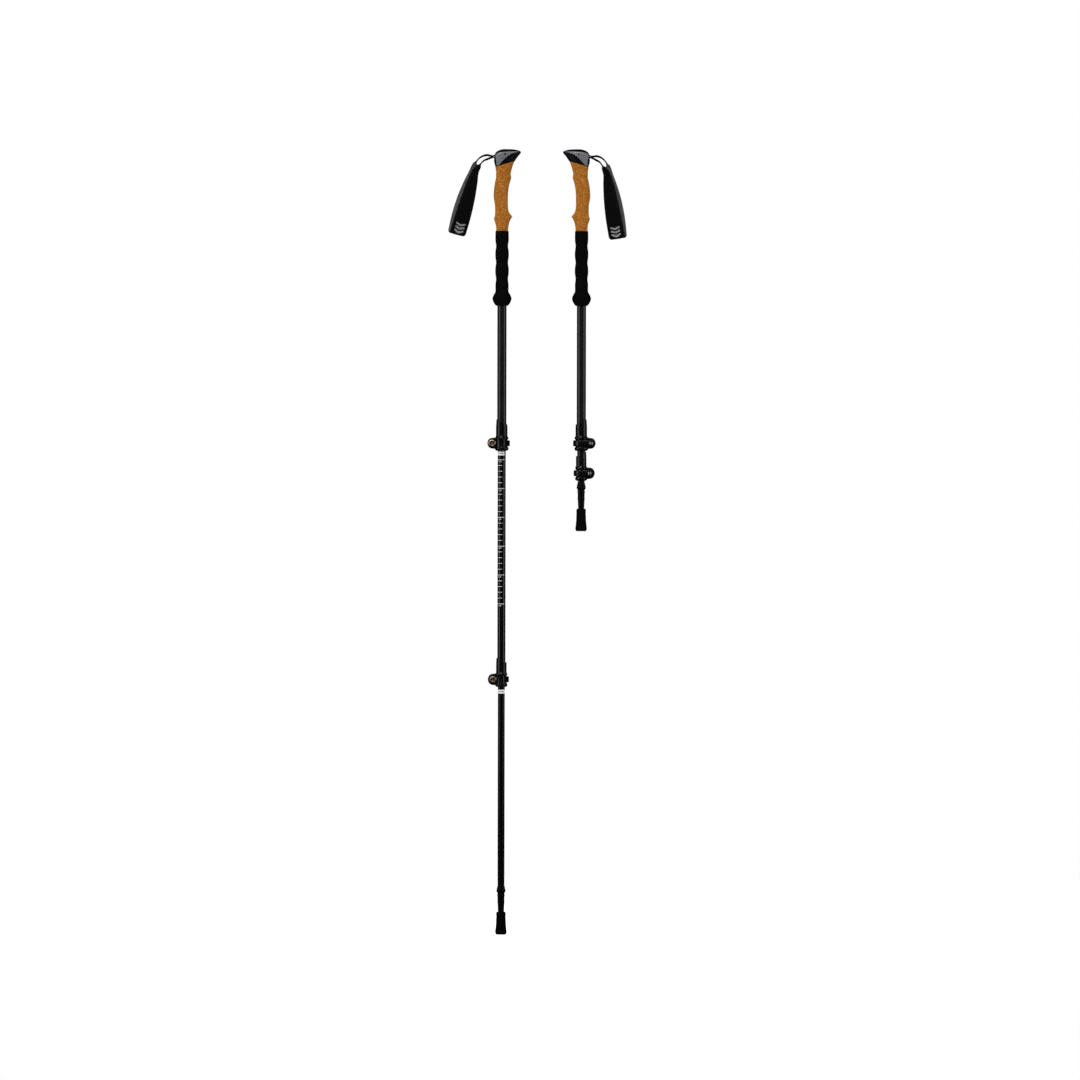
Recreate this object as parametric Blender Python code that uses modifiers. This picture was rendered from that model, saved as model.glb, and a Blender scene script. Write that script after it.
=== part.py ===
"""A pair of three-section trekking poles with lever clamps: one extended, one collapsed.

The poles stand upright along Z. The origin is the centre of the extended pole's foot. Each
pole is described in its own frame, with the foot of the extended pole at Z = 0 and the beak
of the head towards +X, and then placed by the empties that carry its sections.
"""

import math

import bmesh
import bpy
from mathutils import Matrix, Vector

MM = 0.001
GAP = 0.3 * MM  # clearance between neighbouring solids

# The pair.
POLE_LENGTH = 1363 * MM
POLE_SPACING = 138 * MM
MID_STROKE = 358 * MM
LOWER_STROKE = 342 * MM

# Tubes, from the head down.
WALL = 0.7 * MM
UPPER_RADIUS = 8 * MM
MID_RADIUS = 7 * MM
LOWER_RADIUS = 6 * MM
UPPER_TUBE_ENDS = (1343.5 * MM, 845.2 * MM)
MID_TUBE_ENDS = (968 * MM, 436 * MM)
LOWER_TUBE_ENDS = (600 * MM, 85.3 * MM)
TUBE_SLIT = 1.6 * MM
TUBE_SLIT_LENGTH = 30 * MM
GUIDE_HEAD = 8 * MM
GUIDE_SPIGOT = 12 * MM
GUIDE_BORE = 2.5 * MM

# Grip: depths below the top of the pole.
HEAD_BORE_DEPTH = 19.2 * MM
CHEEK_THICKNESS = 1.5 * MM
CHEEK_REAR_SEAT = 10.1 * MM  # how far from the middle the pocket's floor is beside the strap's pin
HEAD_SCREW_AT = (5 * MM, 9.4 * MM)
HEAD_SCREW_RADIUS = 1.5 * MM
HEAD_SCREW_LENGTH = 24 * MM
HEAD_REACH = 20 * MM  # further out than the side of the head anywhere

# Strap.
STRAP_PIN_AT = (-12 * MM, 12.3 * MM)
STRAP_PIN_RADIUS = 1 * MM
STRAP_PIN_LENGTH = 19 * MM
STRAP_POCKET_RADIUS = 6.2 * MM
WEBBING_WIDTH = 14 * MM
WEBBING_THICKNESS = 1.6 * MM
PAD_THICKNESS = 3 * MM
STRAP_TWIST = math.radians(68)
STRAP_SLOT_EXTRA = 1.2 * MM  # how much wider the slot is than the webbing
WEDGE_WIDTH = 12 * MM
WEDGE_ROOM = 4 * MM  # how much taller the wedge's channel is than the wedge
WEDGE_OUTLINE = ((-14.2, 19), (-12.9, 26.3), (-9.4, 26.3), (-9.4, 19))  # mm: x, depth

# Ferrule, tip and boot: heights above the foot.
FERRULE_TOP = 85 * MM
BOOT_HEIGHT = 39.2 * MM
BOOT_RADIUS = 8.1 * MM
BOOT_SKIRT_RADIUS = 9.5 * MM
BOOT_FOOT_RADIUS = 10.1 * MM
BOOT_SOLE_RADIUS = 8.3 * MM
BOOT_CAVITY_FLOOR = 4 * MM
TIP_RADIUS = 1.7 * MM

# Clamps: the two sizes of the same design.
CLAMP_HALF_HEIGHT = 13.2 * MM
FLANGE_OFFSET = 8.7 * MM
SPLIT = 1.6 * MM
BOLT_RADIUS = 2 * MM
LUG_FRONT = 6.5 * MM
LUG_REAR = 4.5 * MM
LUG_SET_BACK = 0.7 * MM  # the lug starts this far outside the collar's bore
LUG_STEPS = 14
LUG_ROOT = 0.4  # where the lug reaches its full height, as a share of the bolt's place
LUG_ROOT_HALF = 10.6 * MM
SPLIT_LENGTH = 40 * MM
WEB_HALF_HEIGHT = 10.2 * MM
WEB_SINK = 0.05 * MM  # how far below the lug's face the web starts
WEB_ARC = ((-15, 1), (2, 1), (20, 0.85), (38, 0.5), (58, 0))  # degrees, share of the flange
WASHER_THICKNESS = 1 * MM
WASHER_RADIUS = 5 * MM
NUT_THICKNESS = 4.4 * MM
BOLT_IN_NUT = 3 * MM
CAM_RADIUS = 4.2 * MM
CAM_OFFSET = 0.6 * MM
LEVER_HALF_HEIGHT = 5 * MM
LEVER_THICKNESS = 2.6 * MM
LEVER_STAND_OFF = 1.05 * MM  # from the collar to the arm that wraps it
LEVER_TIP_SIDE = 0.8 * MM
ARM_START = math.radians(104)
ARM_SWEEP = math.radians(84)
FORK_HALF_GAP = 2.5 * MM
FORK_ROOM = 1.9 * MM  # the fork's gap reaches this far past the cam
EYE_RADIUS = 3.2 * MM
PIVOT_RADIUS = 1.5 * MM
UPPER_CLAMP = {
    "height": 852.6 * MM,
    "tube": UPPER_RADIUS,
    "inner_tube": MID_RADIUS,
    "sleeve": 9.9 * MM,
    "flange": 11.8 * MM,
    "sleeve_back": 41.5 * MM,
    "sleeve_front": 32.8 * MM,
    "bolt": -17 * MM,
    "lug": (7.9 * MM, 9.2 * MM),
    "knob": 7 * MM,
    "lever_tip": 14.9 * MM,
}
LOWER_CLAMP = {
    "height": 442.7 * MM,
    "tube": MID_RADIUS,
    "inner_tube": LOWER_RADIUS,
    "sleeve": 9 * MM,
    "flange": 10.5 * MM,
    "sleeve_back": 37.3 * MM,
    "sleeve_front": 29.8 * MM,
    "bolt": -14.6 * MM,
    "lug": (8.8 * MM, 9.8 * MM),
    "knob": 6.6 * MM,
    "lever_tip": 13.9 * MM,
}

ROUND = 20  # sides of a turned piece
FINE_RING = 16  # points round a lofted section
CUTTER_LENGTH = 120 * MM

for leftover in list(bpy.data.objects):
    bpy.data.objects.remove(leftover, do_unlink=True)

parts = bpy.data.collections.new("trekking_poles")
cutters = bpy.data.collections.new("cutters")
bpy.context.scene.collection.children.link(parts)
bpy.context.scene.collection.children.link(cutters)


def material(name, colour, roughness, metallic=0.0):
    """A Principled material in one colour."""
    made = bpy.data.materials.new(name)
    made.use_nodes = True
    shader = made.node_tree.nodes["Principled BSDF"]
    shader.inputs["Base Color"].default_value = (*colour, 1)
    shader.inputs["Roughness"].default_value = roughness
    shader.inputs["Metallic"].default_value = metallic
    return made


GLOSS_BLACK = material("gloss_black_nylon", (0.012, 0.012, 0.014), 0.25)
HEAD_BLACK = material("head_black_plastic", (0.006, 0.006, 0.008), 0.35)
CHEEK_GREY = material("cheek_grey_plastic", (0.14, 0.14, 0.15), 0.35)
CORK = material("cork", (0.33, 0.13, 0.025), 0.8)
FOAM = material("eva_foam", (0.005, 0.005, 0.006), 0.9)
STRAP_BLACK = material("strap_black", (0.006, 0.006, 0.007), 0.85)
TUBE_GREY = material("anodised_dark_grey", (0.022, 0.023, 0.024), 0.35, 0.9)
TUBE_BLACK = material("anodised_black", (0.008, 0.008, 0.009), 0.35, 0.9)
GUIDE_PLASTIC = material("guide_plastic", (0.03, 0.03, 0.03), 0.5)
BRASS = material("brass", (0.42, 0.28, 0.14), 0.3, 1.0)
STEEL = material("steel", (0.55, 0.55, 0.56), 0.3, 1.0)
RUBBER = material("rubber", (0.008, 0.008, 0.009), 0.75)
CARBIDE = material("carbide", (0.2, 0.2, 0.21), 0.35, 1.0)


def add(name, mesh, surface=None):
    """An object in the parts collection, or, with no surface, a cutter."""
    thing = bpy.data.objects.new(name, mesh)
    if surface is None:
        cutters.objects.link(thing)
        thing.hide_render = True
        thing.display_type = "WIRE"
    else:
        parts.objects.link(thing)
        mesh.materials.append(surface)
    return thing


def place(thing, parent, location=(0, 0, 0)):
    thing.parent = parent
    thing.location = location
    return thing


def empty(name, parent=None, location=(0, 0, 0), turn=0.0):
    made = bpy.data.objects.new(name, None)
    parts.objects.link(made)
    made.parent = parent
    made.location = location
    made.rotation_euler = (0, 0, turn)
    return made


def turned(name, profile, surface, closed=False, sides=ROUND):
    """A profile of (radius, height) points, run down its outer side, turned about Z."""
    mesh = bpy.data.meshes.new(name)
    edges = [(i, i + 1) for i in range(len(profile) - 1)]
    if closed:
        edges.append((len(profile) - 1, 0))
    mesh.from_pydata([(radius, 0, height) for radius, height in profile], edges, [])
    thing = add(name, mesh, surface)
    screw = thing.modifiers.new("turn", "SCREW")
    screw.steps = sides
    screw.render_steps = sides
    screw.use_merge_vertices = True
    screw.merge_threshold = 0.01 * MM
    screw.use_smooth_shade = True
    return thing


AXIS_TURNS = {
    "X": Matrix.Rotation(math.pi / 2, 4, "Y"),
    "Y": Matrix.Rotation(math.pi / 2, 4, "X"),
    "Z": Matrix.Identity(4),
}


def finished(name, shape, surface):
    """The object made from a bmesh, with its faces turned outwards."""
    bmesh.ops.recalc_face_normals(shape, faces=shape.faces)
    mesh = bpy.data.meshes.new(name)
    shape.to_mesh(mesh)
    shape.free()
    mesh.shade_smooth()
    mesh.set_sharp_from_angle(angle=math.radians(40))
    return add(name, mesh, surface)


def cylinder(name, radius, length, axis, surface=None, sides=ROUND):
    """A cylinder centred on its origin, along X, Y or Z."""
    shape = bmesh.new()
    bmesh.ops.create_cone(
        shape, cap_ends=True, segments=sides, radius1=radius, radius2=radius,
        depth=length, matrix=AXIS_TURNS[axis],
    )
    return finished(name, shape, surface)


def box(name, size, surface=None):
    shape = bmesh.new()
    bmesh.ops.create_cube(shape, size=1, matrix=Matrix.Diagonal((*size, 1)))
    return finished(name, shape, surface)


def prism(name, outline, low, high, surface=None):
    """An outline of (x, z) points extruded along Y between two places."""
    shape = bmesh.new()
    near = [shape.verts.new((x, low, z)) for x, z in outline]
    far = [shape.verts.new((x, high, z)) for x, z in outline]
    count = len(outline)
    shape.faces.new(near)
    shape.faces.new(far)
    for i in range(count):
        shape.faces.new((near[i], near[(i + 1) % count], far[(i + 1) % count], far[i]))
    return finished(name, shape, surface)


def lofted(name, rings, surface, bore=None):
    """A skin over rings of points; with a bore, a round hole runs between the end rings."""
    shape = bmesh.new()
    layers = [[shape.verts.new(point) for point in ring] for ring in rings]
    count = len(rings[0])
    if bore:
        for ring in (rings[-1], rings[0]):
            angles = [2 * math.pi * i / count for i in range(count)]
            slope = (ring[0][2] - ring[count // 2][2]) / (ring[0][0] - ring[count // 2][0])
            middle = ring[0][2] - slope * ring[0][0]
            layers.append([
                shape.verts.new((
                    bore * math.cos(a), bore * math.sin(a), middle + slope * bore * math.cos(a)
                ))
                for a in angles
            ])
        layers.append(layers[0])
    else:
        shape.faces.new(layers[0])
        shape.faces.new(layers[-1])
    for upper, lower in zip(layers, layers[1:]):
        for i in range(count):
            j = (i + 1) % count
            shape.faces.new((upper[i], upper[j], lower[j], lower[i]))
    return finished(name, shape, surface)


def combine(thing, tool, operation="DIFFERENCE"):
    """Cut a tool from a thing, or join or intersect the two."""
    boolean = thing.modifiers.new(operation.lower(), "BOOLEAN")
    boolean.object = tool
    boolean.operation = operation
    return thing


def depth(value):
    """Height of a point that lies this far below the top of the pole."""
    return POLE_LENGTH - value


def tube(name, radius, ends, surface, parent):
    """A round tube between its two ends."""
    top, bottom = ends
    inner = radius - WALL
    profile = [(radius, top), (radius, bottom), (inner, bottom), (inner, top)]
    return place(turned(name, profile, surface, closed=True), parent)


def slit(thing, radius, bottom, parent):
    """A slit at the back of a tube's lower end, where its clamp squeezes it."""
    cutter = box(thing.name + "_slit", (2 * radius, TUBE_SLIT, 2 * TUBE_SLIT_LENGTH))
    place(cutter, parent, (-1.5 * radius, 0, bottom))
    combine(thing, cutter)


def guide_bush(name, radius, inner, tube_top, parent):
    """A plastic guide: a head that runs in the wider tube and a spigot in its own tube."""
    seat = tube_top + GAP
    profile = [
        (radius - 0.6 * MM, seat + GUIDE_HEAD),
        (radius, seat + GUIDE_HEAD - 1.5 * MM),
        (radius, seat),
        (inner, seat),
        (inner, tube_top - GUIDE_SPIGOT),
        (GUIDE_BORE, tube_top - GUIDE_SPIGOT),
        (GUIDE_BORE, seat + GUIDE_HEAD),
    ]
    place(turned(name, profile, GUIDE_PLASTIC, closed=True, sides=14), parent)


# Sections through the grip: back and front points as (x, depth), and the half-width, in mm.
HEAD_SECTIONS = [
    ((5, 0.05), (14, 0.05), 3.5),
    ((-0.5, 0.7), (21, 0.5), 8.5),
    ((-5, 1.9), (26.4, 1.6), 11.3),
    ((-8.3, 3.5), (30.2, 2.9), 13.3),
    ((-10.9, 5.4), (32.4, 4.6), 14.6),
    ((-13.2, 8.9), (32.2, 6.6), 15.3),
    ((-14.1, 12.3), (30.5, 9), 15.3),
    ((-14.9, 15.8), (27.6, 12.3), 14.9),
    ((-14.1, 19.5), (25.2, 15.8), 14.2),
    ((-13.1, 25), (23, 19), 13.4),
    ((-11.9, 31), (21.6, 21), 12.9),
]
CORK_SECTIONS = [
    ((-11.9, 31.3), (20.9, 21.5), 12.7),
    ((-11.4, 34.5), (18.6, 28), 12.5),
    ((-10.7, 39), (16.5, 35), 12.3),
    ((-10.7, 44), (14.8, 43.5), 12.2),
    ((-10.8, 50), (15.8, 49.5), 12.4),
    ((-12.3, 57), (13.6, 57), 12.6),
    ((-13.8, 66), (11.5, 66), 12.9),
    ((-14.9, 80), (10.2, 78), 13),
    ((-14.2, 88.5), (10, 90), 12.7),
    ((-12.6, 97), (10.1, 99), 12.4),
    ((-12.3, 106), (11.2, 107), 12.4),
    ((-12.4, 112), (13.8, 112), 12.8),
    ((-12.9, 116.5), (17.4, 117), 13.5),
    ((-14.2, 120.8), (15.3, 121), 13.7),
    ((-12.9, 126), (13, 126), 12.8),
    ((-11.3, 130.4), (11.8, 130.4), 11.9),
    ((-10.4, 137), (10.8, 137), 11),
    ((-10.5, 142.2), (10.5, 142.2), 10.5),
]
HEAD_PINCH = 0.38  # how much the beak narrows in plan
FRONT_ROUNDNESS = 2.1
BACK_ROUNDNESS = 3.4
FOAM_PROFILE = [  # mm: depth, radius
    (142.5, 11.5), (158, 11.6), (168, 10.4), (178, 11.6), (187, 11.6), (197, 10.4),
    (207, 11.6), (216, 11.6), (225, 10.4), (235, 11.4), (247, 11.5), (252.5, 14.2),
    (258.5, 16.5), (263.5, 15.6), (267, 14), (270, 12), (272, 9.6),
]
CHEEK_OUTLINE = [  # mm: x, depth
    (28.4, 4.9), (28, 4.1), (20, 4.2), (9.4, 4.7), (1.2, 5.6), (-6.6, 6.8), (-10.2, 8.4),
    (-11.9, 10.6), (-11.7, 14), (-10.4, 20.4), (-9.6, 26), (-9.6, 29.2), (-5.6, 28),
    (-3.1, 25.2), (-0.6, 22.6), (4.2, 17.3), (7.6, 14), (11, 11.2), (14.4, 9.2),
    (18.4, 7.5), (24.4, 5.7),
]


def section(back, front, half_width, pinch, inset=0.0):
    """One closed ring of the grip: blunt at the back, rounder and pinched at the front."""
    (back_x, back_depth), (front_x, front_depth) = back, front
    middle = 0.1 * front_x + 0.1 * back_x
    ring = []
    for i in range(FINE_RING):
        angle = 2 * math.pi * i / FINE_RING
        along, across = math.cos(angle), math.sin(angle)
        power = 2 / (FRONT_ROUNDNESS if along > 0 else BACK_ROUNDNESS)
        reach = (front_x - middle) if along > 0 else (middle - back_x)
        along = math.copysign(abs(along) ** power, along)
        across = math.copysign(abs(across) ** power, across)
        x = middle + (reach - inset) * along
        y = (half_width - inset) * across * (1 - pinch * max(along, 0))
        share = (x - back_x) / (front_x - back_x)
        down = back_depth + share * (front_depth - back_depth)
        ring.append((x * MM, y * MM, depth(down * MM)))
    return ring


def head_form(name, surface=None, inset=0.0):
    """The outer form of the head, or the same form with its sides drawn in by an inset in mm."""
    rings = []
    for i, (back, front, half_width) in enumerate(HEAD_SECTIONS):
        pinch = HEAD_PINCH * (1 - i / (len(HEAD_SECTIONS) - 1)) ** 0.5
        rings.append(section(back, front, half_width, pinch, inset))
    return lofted(name, rings, surface)


def cheek_prism(name, grow, low, high):
    """The cheek's outline extruded across the head, grown by a margin in mm."""
    points = [Vector((x, POLE_LENGTH / MM - down)) for x, down in CHEEK_OUTLINE]
    outline = []
    for i, point in enumerate(points):
        along = (points[(i + 1) % len(points)] - points[i - 1]).normalized()
        outward = Vector((along.y, -along.x))
        moved = point + grow * outward
        outline.append((moved.x * MM, moved.y * MM))
    return prism(name, outline, low, high)


def build_head(prefix, section_frame):
    """Head with two inlaid cheeks, its screw, the strap's pin and the wedge that locks it."""
    head = place(head_form(prefix + "head", HEAD_BLACK), section_frame)
    pocket = cheek_prism(prefix + "cheek_pocket", GAP / MM, -HEAD_REACH, HEAD_REACH)
    place(pocket, section_frame)
    floor_inset = (CHEEK_THICKNESS + GAP) / MM
    combine(pocket, place(head_form(prefix + "pocket_floor", inset=floor_inset), section_frame))
    combine(pocket, rear_core(prefix + "pocket_core", CHEEK_REAR_SEAT, section_frame))
    combine(head, pocket)
    for side, low, high in (("near", -HEAD_REACH, -MM), ("far", MM, HEAD_REACH)):
        cheek = head_form(prefix + "head_cheek_" + side, CHEEK_GREY)
        place(cheek, section_frame)
        outline = place(cheek_prism(cheek.name + "_outline", 0, low, high), section_frame)
        combine(cheek, outline, "INTERSECT")
        under = head_form(cheek.name + "_under", inset=CHEEK_THICKNESS / MM)
        combine(cheek, place(under, section_frame))
        core = rear_core(cheek.name + "_core", CHEEK_REAR_SEAT + GAP, section_frame)
        combine(cheek, core)
        bore_screw(cheek, section_frame)
    bore_screw(head, section_frame)
    bore = cylinder(prefix + "head_bore", UPPER_RADIUS + GAP, CUTTER_LENGTH, "Z")
    place(bore, section_frame, (0, 0, depth(HEAD_BORE_DEPTH) - CUTTER_LENGTH / 2))
    combine(head, bore)
    pin_x, pin_depth = STRAP_PIN_AT
    pin_place = (pin_x, 0, depth(pin_depth))
    slot_width = WEBBING_WIDTH + STRAP_SLOT_EXTRA
    slot = cylinder(prefix + "strap_slot", STRAP_POCKET_RADIUS, slot_width, "Y")
    combine(head, place(slot, section_frame, pin_place))
    pin_hole = cylinder(
        prefix + "pin_hole", STRAP_PIN_RADIUS + GAP, STRAP_PIN_LENGTH + 2 * GAP, "Y", sides=12
    )
    combine(head, place(pin_hole, section_frame, pin_place))
    wedge_line = [(x * MM, POLE_LENGTH - down * MM) for x, down in WEDGE_OUTLINE]
    half = WEDGE_WIDTH / 2
    place(prism(prefix + "strap_wedge", wedge_line, -half, half, HEAD_BLACK), section_frame)
    front, bottom = wedge_line[2]
    top = wedge_line[0][1]
    room_size = (HEAD_REACH, WEDGE_WIDTH + 2 * GAP, top - bottom + WEDGE_ROOM)
    room = box(prefix + "wedge_room", room_size)
    room_height = (top + bottom + WEDGE_ROOM) / 2 - GAP
    place(room, section_frame, (front + GAP - HEAD_REACH / 2, 0, room_height))
    combine(head, room)
    place(
        cylinder(prefix + "strap_pin", STRAP_PIN_RADIUS, STRAP_PIN_LENGTH, "Y", STEEL, 12),
        section_frame, pin_place,
    )
    screw_x, screw_depth = HEAD_SCREW_AT
    place(
        cylinder(prefix + "head_screw", HEAD_SCREW_RADIUS, HEAD_SCREW_LENGTH, "Y", STEEL, 14),
        section_frame, (screw_x, 0, depth(screw_depth)),
    )


def rear_core(name, half_width, section_frame):
    """The block at the back of the head that the pockets for the cheeks leave standing."""
    core = box(name, (HEAD_REACH, 2 * half_width, 2 * HEAD_REACH))
    pin_x, pin_depth = STRAP_PIN_AT
    return place(core, section_frame, (pin_x + 2 * MM - HEAD_REACH / 2, 0, depth(pin_depth)))


def bore_screw(thing, section_frame):
    """The hole across the head for the screw that holds the cheeks."""
    screw_x, screw_depth = HEAD_SCREW_AT
    hole = cylinder(
        thing.name + "_screw_hole", HEAD_SCREW_RADIUS + GAP, CUTTER_LENGTH, "Y", sides=14
    )
    combine(thing, place(hole, section_frame, (screw_x, 0, depth(screw_depth))))


def build_grips(prefix, section_frame):
    """Cork grip with finger swells, and the ribbed foam grip with its stop bulb under it."""
    bore = UPPER_RADIUS + GAP
    rings = [section(*row, pinch=0.0) for row in CORK_SECTIONS]
    place(lofted(prefix + "cork_grip", rings, CORK, bore), section_frame)
    profile = [(radius * MM, depth(down * MM)) for down, radius in FOAM_PROFILE]
    profile += [(bore, profile[-1][1]), (bore, profile[0][1])]
    foam = turned(prefix + "foam_grip", profile, FOAM, closed=True, sides=16)
    place(foam, section_frame)


# The strap hangs as two legs either side of a middle line. Each list below has one value for
# each place on that line, from the pin outwards and down: (x, depth) from the pin in mm, the
# spread between the legs in mm, the share of the full twist, and the strap's width in mm.
STRAP_LINE = [
    (0, 0), (-4, 0.6), (-8.5, 1.1), (-14.5, 1.6), (-22.5, 4.6), (-29.4, 11.7), (-36.2, 24.9),
    (-42.4, 45), (-50, 71), (-58.2, 101), (-65.8, 130.5),
]
STRAP_SPREAD = [4.3, 2.4, 3.8, 7.2, 8, 8.6, 8, 12, 17, 16, 9]
STRAP_TURN = [0, 0.04, 0.12, 0.14, 0.08, 0.1, 0.85, 0.97, 1, 1, 1]
STRAP_WIDTHS = [14, 14, 14, 14, 14, 14, 13.5, 20, 25.5, 29, 30]
FOLD_NARROWING = 0.14  # how much the pad's rounded corners take off its width at the fold
PAD_FROM = 5.2  # place along the lists above where the pad takes over from the webbing


def smooth_value(values, place_along):
    """Catmull-Rom interpolation through a list of numbers or vectors."""
    last = len(values) - 1
    index = min(int(place_along), last - 1)
    t = place_along - index
    before = values[max(index - 1, 0)]
    start, end = values[index], values[index + 1]
    after = values[min(index + 2, last)]
    slope_in = (end - before) * 0.5
    slope_out = (after - start) * 0.5
    return (
        start * (2 * t**3 - 3 * t**2 + 1)
        + slope_in * (t**3 - 2 * t**2 + t)
        + end * (-2 * t**3 + 3 * t**2)
        + slope_out * (t**3 - t**2)
    )


def strap_station(place_along, twist_side):
    """Centre, direction, spread direction, width direction, spread and width of the loop."""
    line = [Vector((x, 0, -down)) * MM for x, down in STRAP_LINE]
    centre = smooth_value(line, place_along)
    step = 0.02
    ahead = smooth_value(line, min(place_along + step, len(line) - 1))
    behind = smooth_value(line, max(place_along - step, 0))
    direction = (ahead - behind).normalized()
    outward = Vector((direction.z, 0, -direction.x))
    turn = STRAP_TWIST * twist_side * smooth_value(STRAP_TURN, place_along)
    across = Vector((0, 1, 0))
    apart = outward * math.cos(turn) + across * math.sin(turn)
    wide = across * math.cos(turn) - outward * math.sin(turn)
    spread = smooth_value(STRAP_SPREAD, place_along) * MM
    width = smooth_value(STRAP_WIDTHS, place_along) * MM
    return centre, direction, apart, wide, spread, width


def ribbon(name, stations, thickness, surface):
    """A flat band through stations of (centre, width direction, thickness direction, width)."""
    rings = []
    for centre, wide, thick, width in stations:
        across, through = wide * width / 2, thick * thickness / 2
        rings.append([
            centre - across - through, centre + across - through,
            centre + across + through, centre - across + through,
        ])
    return lofted(name, rings, surface)


def build_strap(prefix, frame, twist_side):
    """Wrist strap: webbing that folds round the pin, and the wide pad below it."""
    fold_steps = 6
    inner, outer = [], []
    webbing_steps = 13
    for i in range(webbing_steps + 1):
        along = i * PAD_FROM / webbing_steps
        centre, _, apart, wide, spread, width = strap_station(along, twist_side)
        inner.append((centre - apart * spread / 2, wide, -apart, width))
        outer.append((centre + apart * spread / 2, wide, apart, width))
    centre, direction, apart, wide, spread, width = strap_station(0, twist_side)
    fold = []
    for i in range(1, fold_steps):
        angle = math.pi * i / fold_steps
        thick = -apart * math.cos(angle) - direction * math.sin(angle)
        fold.append((centre + thick * spread / 2, wide, thick, width))
    webbing = ribbon(
        prefix + "strap_webbing", inner[::-1] + fold + outer, WEBBING_THICKNESS, STRAP_BLACK
    )
    place(webbing, frame)
    inner, outer = [], []
    start = PAD_FROM + 0.07
    end = len(STRAP_LINE) - 1
    pad_steps = 16
    for i in range(pad_steps + 1):
        along = start + (end - start) * i / pad_steps
        centre, direction, apart, wide, spread, width = strap_station(along, twist_side)
        inner.append((centre - apart * spread / 2, wide, -apart, width))
        outer.append((centre + apart * spread / 2, wide, apart, width))
    fold = []
    for i in range(1, fold_steps):
        angle = math.pi * i / fold_steps
        thick = -apart * math.cos(angle) + direction * math.sin(angle)
        narrow = 1 - FOLD_NARROWING * math.sin(angle) ** 3
        fold.append((centre + thick * spread / 2, wide, thick, width * narrow))
    pad = ribbon(prefix + "strap_pad", inner + fold + outer[::-1], PAD_THICKNESS, STRAP_BLACK)
    place(pad, frame)


def lug_outline(size):
    """The lug's outline: round at the bolt, widening into the collar."""
    wide, tall = size["lug"]
    outline = []
    for i in range(LUG_STEPS + 1):
        angle = math.radians(90 + 180 * i / LUG_STEPS)
        outline.append((size["bolt"] + wide * math.cos(angle), tall * math.sin(angle)))
    root = LUG_ROOT * size["bolt"]
    outline += [(root, -LUG_ROOT_HALF), (0, -LUG_ROOT_HALF)]
    outline += [(0, LUG_ROOT_HALF), (root, LUG_ROOT_HALF)]
    return outline


def clamp_web(name, size, facing, low, high):
    """The web that runs from the lug's face round the collar's side, between two heights."""
    front = facing < 0
    start_x = size["bolt"] + (size["knob"] if front else WASHER_RADIUS) + 2 * GAP
    start_y = (LUG_FRONT if front else LUG_REAR) - WEB_SINK
    plan = [(start_x, 0), (start_x, facing * start_y)]
    for degrees, share in WEB_ARC:
        angle = math.radians(degrees)
        reach = size["sleeve"] + share * (size["flange"] - size["sleeve"]) - GAP
        plan.append((reach * math.sin(angle), facing * reach * math.cos(angle)))
    plan.append((0.8 * size["sleeve"], 0))
    return lofted(name, [[(x, y, z) for x, y in plan] for z in (low, high)], None)


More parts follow.
